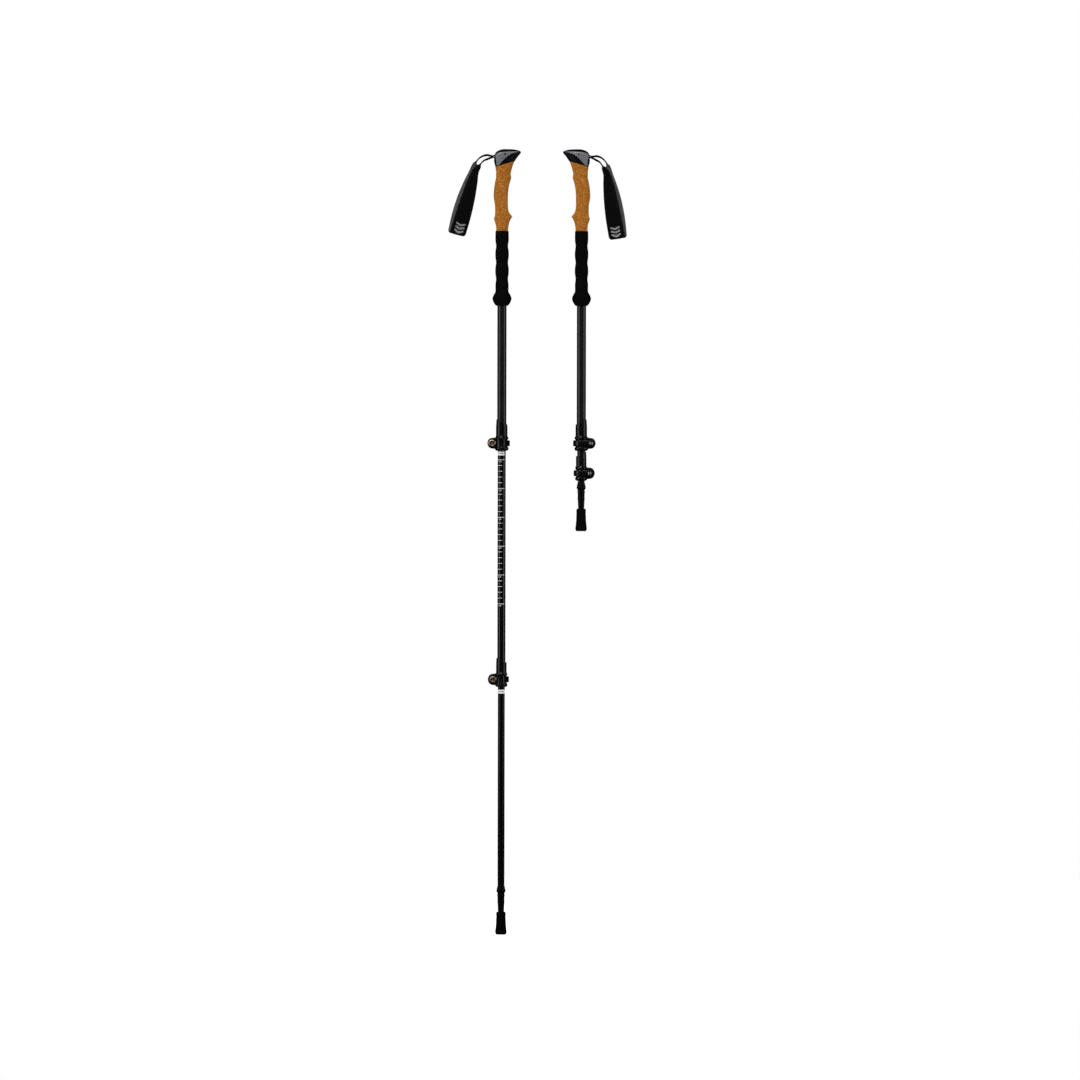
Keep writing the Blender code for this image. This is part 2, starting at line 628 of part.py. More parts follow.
def build_clamp(prefix, size, section_frame):
    """Lever clamp: split collar, washer, tension bolt with pivot pin, cam lever and nut."""
    height = size["height"]
    radius = size["tube"] + GAP
    lip = size["inner_tube"] + GAP
    sleeve, flange = size["sleeve"], size["flange"]
    edge = 1.8 * MM  # half the thickness of a flange
    top = size["sleeve_back"] + 4 * MM
    # Down the outside, over the two flanges to the lip, and up the bore.
    profile = [
        (size["tube"] + 1.1 * MM, top),
        (sleeve, size["sleeve_front"] - 6 * MM),
        (sleeve + 0.2 * MM, FLANGE_OFFSET + 2 * edge),
        (flange, FLANGE_OFFSET + edge),
        (flange, FLANGE_OFFSET - edge),
        (sleeve + 0.1 * MM, FLANGE_OFFSET - 1.4 * edge),
        (sleeve + 0.1 * MM, 1.4 * edge - FLANGE_OFFSET),
        (flange, edge - FLANGE_OFFSET),
        (flange, -edge - FLANGE_OFFSET),
        (lip + 1.6 * MM, -CLAMP_HALF_HEIGHT),
        (lip, -CLAMP_HALF_HEIGHT),
        (lip, -CLAMP_HALF_HEIGHT + 4 * MM),
        (radius, -CLAMP_HALF_HEIGHT + 4 * MM),
        (radius, top),
    ]
    collar = turned(prefix + "clamp_collar", profile, GLOSS_BLACK, closed=True)
    place(collar, section_frame, (0, 0, height))
    # The sleeve's rim slopes from high at the back to low at the front.
    slope = (size["sleeve_back"] - size["sleeve_front"]) / (2 * sleeve)
    high = size["sleeve_back"] + CUTTER_LENGTH
    trim = prism(
        prefix + "sleeve_trim",
        [
            (-2 * sleeve, size["sleeve_back"] + slope * sleeve),
            (2 * sleeve, size["sleeve_front"] - slope * sleeve),
            (2 * sleeve, high),
            (-2 * sleeve, high),
        ],
        -2 * sleeve, 2 * sleeve,
    )
    combine(collar, place(trim, section_frame, (0, 0, height)))
    lug = prism(prefix + "lug", lug_outline(size), -LUG_FRONT, LUG_REAR)
    place(lug, section_frame, (0, 0, height))
    lug_bore = cylinder(prefix + "lug_bore", radius + LUG_SET_BACK, CUTTER_LENGTH, "Z")
    combine(lug, place(lug_bore, section_frame, (0, 0, height)))
    combine(collar, lug, "UNION")
    slot_edge = LEVER_HALF_HEIGHT + 2 * GAP
    for part_name, facing, low, high in (
        ("front_web", -1, -WEB_HALF_HEIGHT, WEB_HALF_HEIGHT),
        ("rear_web_top", 1, slot_edge, WEB_HALF_HEIGHT),
        ("rear_web_bottom", 1, -WEB_HALF_HEIGHT, -slot_edge),
    ):
        web = clamp_web(prefix + part_name, size, facing, low, high)
        place(web, section_frame, (0, 0, height))
        combine(web, lug_bore)
        combine(collar, web, "UNION")
    split = box(prefix + "split", (SPLIT_LENGTH, SPLIT, 2 * CLAMP_HALF_HEIGHT))
    place(split, section_frame, (-SPLIT_LENGTH / 2 - 0.4 * radius, 0, height - 0.5 * MM))
    combine(collar, split)
    bolt_hole = cylinder(prefix + "bolt_hole", BOLT_RADIUS + GAP, CUTTER_LENGTH, "Y", sides=14)
    place(bolt_hole, section_frame, (size["bolt"], 0, height))
    combine(collar, bolt_hole)

    washer_start = LUG_REAR + GAP
    washer = cylinder(prefix + "clamp_washer", WASHER_RADIUS, WASHER_THICKNESS, "Y", STEEL)
    place(washer, section_frame, (size["bolt"], washer_start + WASHER_THICKNESS / 2, height))
    combine(washer, bolt_hole)

    pivot_y = washer_start + WASHER_THICKNESS + GAP + CAM_RADIUS + CAM_OFFSET
    pivot_place = (size["bolt"], pivot_y, height)
    nut_back = -LUG_FRONT - GAP
    bolt_end = nut_back - BOLT_IN_NUT
    bolt = cylinder(
        prefix + "clamp_bolt", BOLT_RADIUS, pivot_y - PIVOT_RADIUS - bolt_end, "Y", STEEL, 14
    )
    place(bolt, section_frame, (size["bolt"], (pivot_y - PIVOT_RADIUS + bolt_end) / 2, height))
    eye = cylinder(prefix + "bolt_eye", EYE_RADIUS, 2 * FORK_HALF_GAP - 2 * GAP, "Z", sides=16)
    combine(bolt, place(eye, section_frame, pivot_place), "UNION")
    pivot_hole = cylinder(prefix + "pivot_hole", PIVOT_RADIUS + GAP, CUTTER_LENGTH, "Z", sides=14)
    place(pivot_hole, section_frame, pivot_place)
    combine(bolt, pivot_hole)
    pivot = cylinder(
        prefix + "clamp_pivot", PIVOT_RADIUS, 2 * LEVER_HALF_HEIGHT - 0.6 * MM, "Z", STEEL, 14
    )
    place(pivot, section_frame, pivot_place)

    build_lever(prefix, size, section_frame, pivot_place, pivot_hole)

    knob = size["knob"]
    # Down the nut's domed face, its rim and its flat back.
    profile = [
        (0, NUT_THICKNESS), (0.45 * knob, NUT_THICKNESS - 0.3 * MM),
        (0.8 * knob, NUT_THICKNESS - 1.2 * MM), (knob, NUT_THICKNESS - 2.4 * MM),
        (knob, 0), (0, 0),
    ]
    nut = turned(prefix + "clamp_nut", profile, BRASS)
    place(nut, section_frame, (size["bolt"], nut_back, height))
    nut.rotation_euler = (math.pi / 2, 0, 0)
    thread = cylinder(
        prefix + "nut_thread", BOLT_RADIUS + GAP, 2 * (nut_back - bolt_end + GAP), "Y", sides=14
    )
    combine(nut, place(thread, section_frame, (size["bolt"], nut_back, height)))


def build_lever(prefix, size, section_frame, pivot_place, pivot_hole):
    """Cam lever: a forked cam head on the pivot pin and an arm that wraps round the collar."""
    pivot_x, pivot_y, _ = pivot_place
    head_centre = Vector((0, -CAM_OFFSET, 0))
    around = size["sleeve"] + LEVER_STAND_OFF + LEVER_THICKNESS / 2
    pivot = Vector((pivot_x, pivot_y, 0))
    # From inside the cam, out of it, round the collar and on to the tip.
    path = [Vector((0.5 * MM, 0.4 * MM, 0)), Vector((4 * MM, 1.4 * MM, 0))]
    arm_steps = 9
    for i in range(arm_steps):
        angle = ARM_START - ARM_SWEEP * i / (arm_steps - 1)
        path.append(Vector((around * math.cos(angle), around * math.sin(angle), 0)) - pivot)
    tip = Vector((size["lever_tip"] - LEVER_THICKNESS / 2, LEVER_TIP_SIDE, 0))
    path.append(tip - pivot)
    stations = []
    up = Vector((0, 0, 1))
    for i, point in enumerate(path):
        ahead = path[min(i + 1, len(path) - 1)]
        behind = path[max(i - 1, 0)]
        along = (ahead - behind).normalized()
        stations.append((point, up, along.cross(up), 2 * LEVER_HALF_HEIGHT))
    lever = ribbon(prefix + "clamp_lever", stations, LEVER_THICKNESS, GLOSS_BLACK)
    place(lever, section_frame, pivot_place)
    cam = cylinder(prefix + "cam", CAM_RADIUS, 2 * LEVER_HALF_HEIGHT, "Z", sides=24)
    place(cam, section_frame, Vector(pivot_place) + head_centre)
    combine(lever, cam, "UNION")
    fork = cylinder(prefix + "fork_gap", CAM_RADIUS + FORK_ROOM, 2 * FORK_HALF_GAP, "Z")
    combine(lever, place(fork, section_frame, pivot_place))
    combine(lever, pivot_hole)


def build_foot(prefix, section_frame):
    """Ferrule on the lower tube, its carbide tip, and the rubber boot over both."""
    plug = LOWER_RADIUS - WALL - GAP
    # Down the plug in the tube, the shoulder and its rings, the shank, and up the tip's socket.
    ferrule = [
        (0, FERRULE_TOP + 25 * MM), (plug, FERRULE_TOP + 25 * MM), (plug, FERRULE_TOP),
        (6 * MM, FERRULE_TOP), (7.9 * MM, 76.5 * MM), (8 * MM, 74.6 * MM), (6.3 * MM, 72.6 * MM),
        (6.2 * MM, 70 * MM), (6.7 * MM, 68 * MM), (6.1 * MM, 65.5 * MM), (6 * MM, 58.5 * MM),
        (6.3 * MM, 56.4 * MM), (5.9 * MM, 54.5 * MM), (5.3 * MM, 40 * MM), (4.3 * MM, 14 * MM),
        (TIP_RADIUS + GAP, 14 * MM), (TIP_RADIUS + GAP, 22 * MM), (0, 22 * MM),
    ]
    place(turned(prefix + "ferrule", ferrule, RUBBER, sides=16), section_frame)
    # Down the tip's stem, its collar and its dished point.
    tip = [
        (0, 21.5 * MM), (TIP_RADIUS, 21.5 * MM), (TIP_RADIUS, 13.5 * MM), (2.3 * MM, 13.4 * MM),
        (2.3 * MM, 9 * MM), (1.2 * MM, 7 * MM), (0, 7.6 * MM),
    ]
    place(turned(prefix + "carbide_tip", tip, CARBIDE, sides=12), section_frame)
    cavity_top = 5.3 * MM + GAP
    # Down the outside to the flat sole, and up the cavity.
    boot = [
        (cavity_top, BOOT_HEIGHT), (7.3 * MM, BOOT_HEIGHT), (BOOT_RADIUS, BOOT_HEIGHT - 2 * MM),
        (BOOT_RADIUS + 0.2 * MM, 20 * MM), (BOOT_SKIRT_RADIUS, 9 * MM),
        (BOOT_FOOT_RADIUS, 4.5 * MM), (BOOT_SKIRT_RADIUS, 1.2 * MM),
        (BOOT_SOLE_RADIUS, 0), (0, 0), (0, BOOT_CAVITY_FLOOR),
        (3.2 * MM, BOOT_CAVITY_FLOOR), (4.3 * MM + GAP, 13.5 * MM),
    ]
    place(turned(prefix + "rubber_boot", boot, RUBBER, closed=True), section_frame)


def build_pole(prefix, place_x, turn, mid_rise, lower_rise, twist_side, strap_drop):
    """One pole; mid_rise and lower_rise are how far its sections are pushed in."""
    upper = empty(prefix + "upper_section", location=(place_x, 0, 0), turn=turn)
    mid = empty(prefix + "mid_section", upper, (0, 0, mid_rise))
    lower = empty(prefix + "lower_section", mid, (0, 0, lower_rise))
    pin_x, pin_depth = STRAP_PIN_AT
    strap = empty(prefix + "strap_frame", upper, (pin_x, 0, depth(pin_depth)))
    strap.rotation_euler = (0, -strap_drop, 0)

    build_head(prefix, upper)
    build_grips(prefix, upper)
    build_strap(prefix, strap, twist_side)
    upper_tube = tube(prefix + "upper_tube", UPPER_RADIUS, UPPER_TUBE_ENDS, TUBE_GREY, upper)
    slit(upper_tube, UPPER_RADIUS, UPPER_TUBE_ENDS[1], upper)
    build_clamp(prefix + "upper_", UPPER_CLAMP, upper)

    mid_tube = tube(prefix + "mid_tube", MID_RADIUS, MID_TUBE_ENDS, TUBE_BLACK, mid)
    slit(mid_tube, MID_RADIUS, MID_TUBE_ENDS[1], mid)
    guide_bush(
        prefix + "mid_guide", MID_RADIUS, MID_RADIUS - WALL - GAP, MID_TUBE_ENDS[0], mid
    )
    build_clamp(prefix + "lower_", LOWER_CLAMP, mid)

    tube(prefix + "lower_tube", LOWER_RADIUS, LOWER_TUBE_ENDS, TUBE_BLACK, lower)
    guide_bush(
        prefix + "lower_guide", LOWER_RADIUS, LOWER_RADIUS - WALL - GAP, LOWER_TUBE_ENDS[0], lower
    )
    build_foot(prefix, lower)


build_pole("left_", 0, 0, 0, 0, 1, 0)
build_pole(
    "right_", POLE_SPACING, math.pi, MID_STROKE, LOWER_STROKE, -1, math.radians(6.5)
)
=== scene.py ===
"""The looks of a pair of three-section trekking poles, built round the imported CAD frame.

Every piece is described in its pole's own frame, with the foot of the extended pole at Z = 0
and the beak of the head towards +X, and is then placed where the CAD nodes of that pole are.
"""

import math

import bmesh
import bpy
from mathutils import Matrix, Vector


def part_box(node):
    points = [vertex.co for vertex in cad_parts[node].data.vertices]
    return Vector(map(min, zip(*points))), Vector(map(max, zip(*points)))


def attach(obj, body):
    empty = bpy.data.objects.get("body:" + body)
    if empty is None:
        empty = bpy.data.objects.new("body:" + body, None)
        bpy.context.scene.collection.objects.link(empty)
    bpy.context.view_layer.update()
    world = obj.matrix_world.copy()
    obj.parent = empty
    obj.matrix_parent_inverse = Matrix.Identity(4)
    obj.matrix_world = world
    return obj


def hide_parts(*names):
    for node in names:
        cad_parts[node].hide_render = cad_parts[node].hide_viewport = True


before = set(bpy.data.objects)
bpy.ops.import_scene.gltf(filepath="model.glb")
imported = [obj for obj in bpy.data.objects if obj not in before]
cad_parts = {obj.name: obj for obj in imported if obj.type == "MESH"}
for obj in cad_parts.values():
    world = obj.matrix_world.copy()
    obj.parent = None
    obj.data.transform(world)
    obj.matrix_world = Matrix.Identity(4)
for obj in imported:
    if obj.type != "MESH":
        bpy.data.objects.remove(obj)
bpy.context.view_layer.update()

MM = 0.001
scene = bpy.context.scene
scene.view_settings.view_transform = "Standard"


def linked(name, data):
    """A new object in the scene."""
    thing = bpy.data.objects.new(name, data)
    scene.collection.objects.link(thing)
    return thing


# ---------------------------------------------------------------- camera

VIEW_WIDTH = 1.8746  # metres across the frame at the poles
VIEW_DISTANCE = 14.0
VIEW_CENTRE = (66.7 * MM, 684.7 * MM)
SENSOR = 36.0
LEAN = -math.radians(0.1)
camera_data = bpy.data.cameras.new("camera")
camera_data.sensor_width = SENSOR
camera_data.lens = SENSOR * VIEW_DISTANCE / VIEW_WIDTH
camera = linked("camera", camera_data)
camera.location = (VIEW_CENTRE[0], -VIEW_DISTANCE, VIEW_CENTRE[1])
camera.rotation_euler = (math.pi / 2, LEAN, 0)
scene.camera = camera

# ---------------------------------------------------------------- where the poles are

SIDES = ("left_", "right_")
POLE_LENGTH = 1363 * MM
UPPER_RADIUS, MID_RADIUS, LOWER_RADIUS = 8 * MM, 7 * MM, 6 * MM
WALL = 0.7 * MM
GAP = 0.3 * MM
UPPER_TUBE_ENDS = (1343.5 * MM, 845.2 * MM)
MID_TUBE_ENDS = (968 * MM, 436 * MM)
LOWER_TUBE_ENDS = (600 * MM, 85.3 * MM)
STRAP_PIN_AT = (-12 * MM, 12.3 * MM)
STRAP_DROP = {"left_": 0.0, "right_": math.radians(6.5)}
STRAP_SIDE = {"left_": 1, "right_": -1}


def section_place(side, node, local_top):
    """The frame of the section that this tube belongs to."""
    low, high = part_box(side + node)
    head_low, head_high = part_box(side + "head")
    turn = 0.0 if (head_low.x + head_high.x) > (low.x + high.x) else math.pi
    move = Matrix.Translation(((low.x + high.x) / 2, (low.y + high.y) / 2, high.z - local_top))
    return move @ Matrix.Rotation(turn, 4, "Z")


PLACES = {}
for side in SIDES:
    upper = section_place(side, "upper_tube", UPPER_TUBE_ENDS[0])
    strap_at = Matrix.Translation((STRAP_PIN_AT[0], 0, POLE_LENGTH - STRAP_PIN_AT[1]))
    PLACES[side] = {
        "upper": upper,
        "mid": section_place(side, "mid_tube", MID_TUBE_ENDS[0]),
        "lower": section_place(side, "lower_tube", LOWER_TUBE_ENDS[0]),
        "strap": upper @ strap_at @ Matrix.Rotation(-STRAP_DROP[side], 4, "Y"),
    }

# ---------------------------------------------------------------- materials

BLACK, WHITE = (0, 0, 0, 1), (1, 1, 1, 1)
NOISE_ROUGHNESS = 0.55
CORK_GRAIN = 900


def tone(red, green, blue):
    """A colour given as 0 to 255 display values."""
    linear = []
    for value in (red, green, blue):
        share = value / 255
        linear.append(share / 12.92 if share <= 0.04045 else ((share + 0.055) / 1.055) ** 2.4)
    return (*linear, 1.0)


class Look:
    """A Principled material and the nodes that vary it over the surface."""

    def __init__(self, name, **values):
        self.material = bpy.data.materials.new(name)
        self.material.use_nodes = True
        self.tree = self.material.node_tree
        self.shader = self.tree.nodes["Principled BSDF"]
        for key, value in values.items():
            self.shader.inputs[key.replace("_", " ")].default_value = value
        self.where = self.node("ShaderNodeTexCoord").outputs["Object"]

    def node(self, kind, inputs=None, **settings):
        made = self.tree.nodes.new(kind)
        for key, value in settings.items():
            setattr(made, key, value)
        for key, value in (inputs or {}).items():
            socket = made.inputs[key]
            if isinstance(value, bpy.types.NodeSocket):
                self.tree.links.new(value, socket)
            else:
                socket.default_value = value
        return made

    def along(self, scale):
        """Object coordinates stretched by a scale for each axis."""
        mapping = self.node("ShaderNodeMapping", {"Vector": self.where, "Scale": scale})
        return mapping.outputs["Vector"]

    def cloth(self):
        """Coordinates that run along and across a band, in metres."""
        return self.node("ShaderNodeUVMap", uv_map="cloth").outputs["UV"]

    def noise(self, scale, detail=3.0, vector=None):
        made = self.node("ShaderNodeTexNoise", {
            "Vector": vector or self.where, "Scale": scale, "Detail": detail,
            "Roughness": NOISE_ROUGHNESS,
        })
        return made.outputs["Fac"]

    def cells(self, scale, output="Distance"):
        made = self.node("ShaderNodeTexVoronoi", {"Vector": self.where, "Scale": scale})
        return made.outputs[output]

    def waves(self, scale, direction, vector, distortion):
        made = self.node(
            "ShaderNodeTexWave",
            {"Vector": vector, "Scale": scale, "Distortion": distortion, "Detail": 1.0},
            wave_type="BANDS", bands_direction=direction,
        )
        return made.outputs["Fac"]

    def math(self, operation, first, second):
        made = self.node("ShaderNodeMath", {0: first, 1: second}, operation=operation)
        return made.outputs[0]

    def ramp(self, factor, stops):
        made = self.node("ShaderNodeValToRGB", {"Fac": factor})
        while len(made.color_ramp.elements) < len(stops):
            made.color_ramp.elements.new(0.5)
        for element, (position, colour) in zip(made.color_ramp.elements, stops):
            element.position = position
            element.color = colour
        return made.outputs["Color"]

    def mask(self, factor, low, high):
        """Black below one value and white above the other."""
        return self.ramp(factor, [(low, BLACK), (high, WHITE)])

    def blend(self, factor, first, second, kind="MIX"):
        made = self.node("ShaderNodeMix", data_type="RGBA", blend_type=kind)
        for index, value in ((0, factor), (6, first), (7, second)):
            if isinstance(value, bpy.types.NodeSocket):
                self.tree.links.new(value, made.inputs[index])
            else:
                made.inputs[index].default_value = value
        return made.outputs[2]

    def spread(self, factor, low, high):
        made = self.node("ShaderNodeMapRange", {"Value": factor, "To Min": low, "To Max": high})
        return made.outputs["Result"]

    def colour(self, socket):
        self.tree.links.new(socket, self.shader.inputs["Base Color"])
        return self

    def rough(self, factor, low, high):
        self.tree.links.new(self.spread(factor, low, high), self.shader.inputs["Roughness"])
        return self

    def bump(self, *layers):
        """Layers of (height, depth in mm), from the finest to the broadest."""
        normal = None
        for height, reach in layers:
            inputs = {"Height": height, "Strength": 1.0, "Distance": reach * MM}
            if normal:
                inputs["Normal"] = normal
            normal = self.node("ShaderNodeBump", inputs).outputs["Normal"]
        self.tree.links.new(normal, self.shader.inputs["Normal"])
        return self


def cork_look():
    """Composite cork: coloured grains, dark flecks and patches darkened by hands."""
    look = Look("cork_composite", Specular_IOR_Level=0.12, Sheen_Weight=0.3, Sheen_Roughness=0.4,
                Sheen_Tint=(1.0, 0.72, 0.34, 1))
    warp = look.noise(900, 2.0)
    grain = look.cells(CORK_GRAIN, "Color")
    grain_value = look.node("ShaderNodeSeparateColor", {"Color": grain}).outputs["Red"]
    body = look.ramp(grain_value, [
        (0.0, tone(104, 52, 8)), (0.35, tone(148, 86, 20)), (0.7, tone(178, 110, 34)),
        (1.0, tone(216, 146, 62)),
    ])
    fine = look.noise(2600, 5.0)
    body = look.blend(0.3, body, look.ramp(fine, [(0.3, tone(116, 60, 12)),
                                                  (0.7, tone(194, 128, 50))]))
    fleck = look.cells(380)
    fleck_mask = look.ramp(fleck, [(0.10, WHITE), (0.17, BLACK)])
    fleck_pick = look.mask(look.noise(240, 1.0), 0.52, 0.6)
    flecks = look.blend(1.0, fleck_mask, fleck_pick, "MULTIPLY")
    body = look.blend(flecks, body, tone(92, 48, 10))
    handled = look.noise(38, 2.0)
    body = look.blend(look.spread(handled, 0.0, 0.14), body, tone(140, 80, 20))
    look.colour(body)
    look.rough(fine, 0.62, 0.86)
    edges = look.cells(CORK_GRAIN)
    look.bump((fine, 0.05), (edges, 0.08), (warp, 0.02))
    return look.material


def foam_look():
    """Closed-cell foam: fine pores and a little dust."""
    look = Look("eva_foam_black", Specular_IOR_Level=0.05)
    pores = look.cells(1500)
    fine = look.noise(3200, 3.0)
    body = look.ramp(fine, [(0.3, (0.0010, 0.0009, 0.0011, 1)), (0.7, (0.0030, 0.0028, 0.0032, 1))])
    dust = look.ramp(look.noise(90, 3.0), [(0.5, BLACK), (0.85, (0.25, 0.25, 0.25, 1))])
    body = look.blend(dust, body, (0.006, 0.0055, 0.0055, 1))
    look.colour(body)
    look.rough(pores, 0.7, 0.95)
    look.bump((fine, 0.03), (pores, 0.09))
    return look.material


def moulded_look(name, dark, light, rough_low, rough_high, grain=0.02, **values):
    """Injection-moulded plastic: faint flow marks, a fine spark texture and scuffs."""
    look = Look(name, **values)
    flow = look.noise(60, 3.0, look.along((1, 1, 0.25)))
    spark = look.noise(5200, 2.0)
    scuff = look.mask(look.noise(420, 5.0, look.along((1, 1, 0.12))), 0.62, 0.8)
    body = look.ramp(flow, [(0.3, dark), (0.7, light)])
    body = look.blend(look.spread(scuff, 0.0, 0.25), body, tuple(min(1, 1.9 * c) for c in light))
    look.colour(body)
    look.rough(look.math("ADD", flow, scuff), rough_low, rough_high)
    look.bump((spark, grain), (flow, 0.02))
    return look.material


def tube_look(name, dark, light, rough_low, rough_high, **values):
    """Drawn and anodised tube: fine lines along it and a slightly uneven sheen."""
    look = Look(name, **values)
    lines = look.noise(1400, 2.0, look.along((1, 1, 0.012)))
    cloud = look.noise(26, 2.0)
    body = look.ramp(look.math("MULTIPLY", look.math("ADD", lines, cloud), 0.5),
                     [(0.35, dark), (0.65, light)])
    look.colour(body)
    look.rough(look.math("MULTIPLY", look.math("ADD", lines, cloud), 0.5), rough_low, rough_high)
    look.bump((look.noise(6000, 1.0), 0.004), (lines, 0.006))
    return look.material


def print_look(name, dark, light):
    """Pad-printed ink, slightly worn."""
    look = Look(name, Specular_IOR_Level=0.35)
    wear = look.noise(1800, 4.0)
    look.colour(look.ramp(wear, [(0.32, dark), (0.6, light)]))
    look.rough(wear, 0.35, 0.6)
    look.bump((look.noise(5200, 2.0), 0.01))
    return look.material


def metal_look(name, dark, light, rough_low, rough_high, direction=(1, 1, 1), **values):
    """Turned metal with fine tool marks."""
    look = Look(name, Metallic=1.0, **values)
    marks = look.noise(2600, 3.0, look.along(direction))
    tarnish = look.noise(260, 3.0)
    body = look.ramp(tarnish, [(0.3, dark), (0.68, light)])
    look.colour(body)
    look.rough(marks, rough_low, rough_high)
    look.bump((marks, 0.012))
    return look.material


def woven_look(name, dark, light, across, along, depth_mm=0.12, **values):
    """A woven band: warp ribs along it crossed by weft ribs, in metres of the cloth map."""
    look = Look(name, **values)
    cloth = look.cloth()
    warp = look.waves(across, "X", cloth, 0.6)
    weft = look.waves(along, "Y", cloth, 0.6)
    fuzz = look.noise(5200, 4.0)
    weave = look.math("MULTIPLY", warp, weft)
    body = look.ramp(weave, [(0.1, dark), (0.8, light)])
    body = look.blend(look.spread(fuzz, 0.0, 0.5), body, dark)
    look.colour(body)
    look.rough(fuzz, 0.72, 0.95)
    look.bump((fuzz, 0.03), (weave, depth_mm))
    return look.material


def lining_look():
    """Grey knitted lining with fine ribs that run along the strap."""
    look = Look("strap_lining_grey", Sheen_Weight=0.25, Sheen_Roughness=0.5,
                Specular_IOR_Level=0.2)
    cloth = look.cloth()
    turned_cloth = look.node(
        "ShaderNodeMapping", {"Vector": cloth, "Rotation": (0, 0, math.radians(8))}
    ).outputs["Vector"]
    rib = look.waves(190, "X", turned_cloth, 0.4)
    cross = look.waves(420, "Y", turned_cloth, 0.4)
    fuzz = look.noise(4600, 4.0)
    body = look.ramp(rib, [(0.15, tone(84, 82, 86)), (0.85, tone(106, 104, 108))])
    body = look.blend(look.spread(cross, 0.0, 0.25), body, tone(82, 80, 84))
    look.colour(look.blend(look.spread(fuzz, 0.0, 0.3), body, tone(98, 96, 100)))
    look.rough(fuzz, 0.75, 0.95)
    look.bump((fuzz, 0.015), (cross, 0.03), (rib, 0.07))
    return look.material


def rubber_look():
    """Boot rubber with bloom, and dusty where it meets the ground."""
    look = Look("boot_rubber_black", Specular_IOR_Level=0.06)
    bloom = look.noise(120, 4.0)
    fine = look.noise(3000, 4.0)
    low_down = look.node("ShaderNodeSeparateXYZ", {"Vector": look.where}).outputs["Z"]
    dusty = look.node("ShaderNodeMapRange", {
        "Value": low_down, "From Min": 0.0, "From Max": 0.016, "To Min": 1.0, "To Max": 0.0,
    }).outputs["Result"]
    body = look.ramp(fine, [(0.3, (0.0007, 0.0006, 0.0007, 1)), (0.7, (0.002, 0.0019, 0.002, 1))])
    worn = look.math("MULTIPLY", dusty, look.mask(bloom, 0.4, 0.8))
    body = look.blend(worn, body, (0.005, 0.0047, 0.0045, 1))
    look.colour(body)
    look.rough(bloom, 0.5, 0.78)
    look.bump((fine, 0.03), (bloom, 0.06))
    return look.material


CORK = cork_look()
FOAM = foam_look()
HEAD_BLACK = moulded_look("head_black_soft", (0.0014, 0.0013, 0.0015, 1),
                          (0.0028, 0.0027, 0.0031, 1), 0.42, 0.54, 0.005,
                          Specular_IOR_Level=0.16)
CHEEK = moulded_look("cheek_grey_satin", tone(98, 99, 103), tone(114, 115, 119), 0.28, 0.4,
                     0.006, Coat_Weight=0.1, Coat_Roughness=0.3)
CLAMP = moulded_look("clamp_black_satin", (0.0018, 0.0018, 0.002, 1),
                     (0.0034, 0.0034, 0.0038, 1), 0.24, 0.38, 0.006, Specular_IOR_Level=0.35,
                     Coat_Weight=0.12, Coat_Roughness=0.2)
FERRULE = moulded_look("ferrule_black", (0.0008, 0.0008, 0.0009, 1), (0.0018, 0.0018, 0.002, 1),
                       0.34, 0.5, 0.005, Specular_IOR_Level=0.12)
UPPER_TUBE = tube_look("upper_tube_anthracite", (0.0045, 0.0047, 0.005, 1),
                       (0.008, 0.0083, 0.0088, 1), 0.24, 0.36)
MID_TUBE = tube_look("mid_tube_black", (0.0016, 0.0016, 0.0018, 1),
                     (0.003, 0.003, 0.0033, 1), 0.16, 0.26)
# The lower tube is the mid tube's black made darker: painted shade for the lamps' light that falls
# off towards the foot.
LOWER_TUBE = tube_look("lower_tube_black", (0.0008, 0.0008, 0.0009, 1),
                       (0.0018, 0.0018, 0.002, 1), 0.2, 0.3, Specular_IOR_Level=0.26)
INK = print_look("scale_ink_grey", tone(176, 176, 176), tone(214, 214, 214))
DASH_INK = print_look("band_dash_ink", tone(26, 26, 26), tone(40, 40, 40))
WHITE_INK = print_look("stop_band_ink", tone(214, 214, 214), tone(238, 238, 238))
MARK = print_look("strap_mark_ink", tone(112, 112, 114), tone(138, 138, 140))
NUT = metal_look("nut_bronze", tone(184, 154, 120), tone(230, 212, 186), 0.3, 0.46)
STEEL = metal_look("steel_turned", tone(150, 150, 152), tone(196, 196, 198), 0.18, 0.3)
CARBIDE = metal_look("carbide_dark", tone(96, 96, 98), tone(132, 132, 134), 0.3, 0.5)
GUIDE = moulded_look("guide_nylon", tone(40, 40, 42), tone(54, 54, 56), 0.4, 0.55)
WEBBING = woven_look("strap_webbing_black", (0.0012, 0.0011, 0.0013, 1),
                     (0.0052, 0.005, 0.0056, 1), 380, 300, 0.16, Sheen_Weight=0.03,
                     Sheen_Roughness=0.5, Specular_IOR_Level=0.1)
PAD_CLOTH = woven_look("strap_pad_black", (0.001, 0.0009, 0.0011, 1),
                       (0.0042, 0.004, 0.0045, 1), 620, 620, 0.1, Sheen_Weight=0.02,
                       Sheen_Roughness=0.5, Specular_IOR_Level=0.08)
BINDING = woven_look("strap_binding_black", (0.0012, 0.0011, 0.0013, 1),
                     (0.005, 0.0048, 0.0053, 1), 900, 260, 0.14, Sheen_Weight=0.03,
                     Sheen_Roughness=0.5, Specular_IOR_Level=0.12)
THREAD = woven_look("strap_thread_black", (0.004, 0.004, 0.0045, 1),
                    (0.013, 0.013, 0.014, 1), 900, 900, 0.05, Specular_IOR_Level=0.35)
LINING = lining_look()
RUBBER = rubber_look()

# ---------------------------------------------------------------- shapes

SHARP = 38.0  # degrees above which an edge is kept sharp


def circle(count):
    """The cosine and sine of equal steps round a circle."""
    turns = [2 * math.pi * i / count for i in range(count)]
    return [(math.cos(turn), math.sin(turn)) for turn in turns]


def blunt(value, power):
    """A cosine or sine raised to a power, with its sign kept."""
    return math.copysign(abs(value) ** power, value)


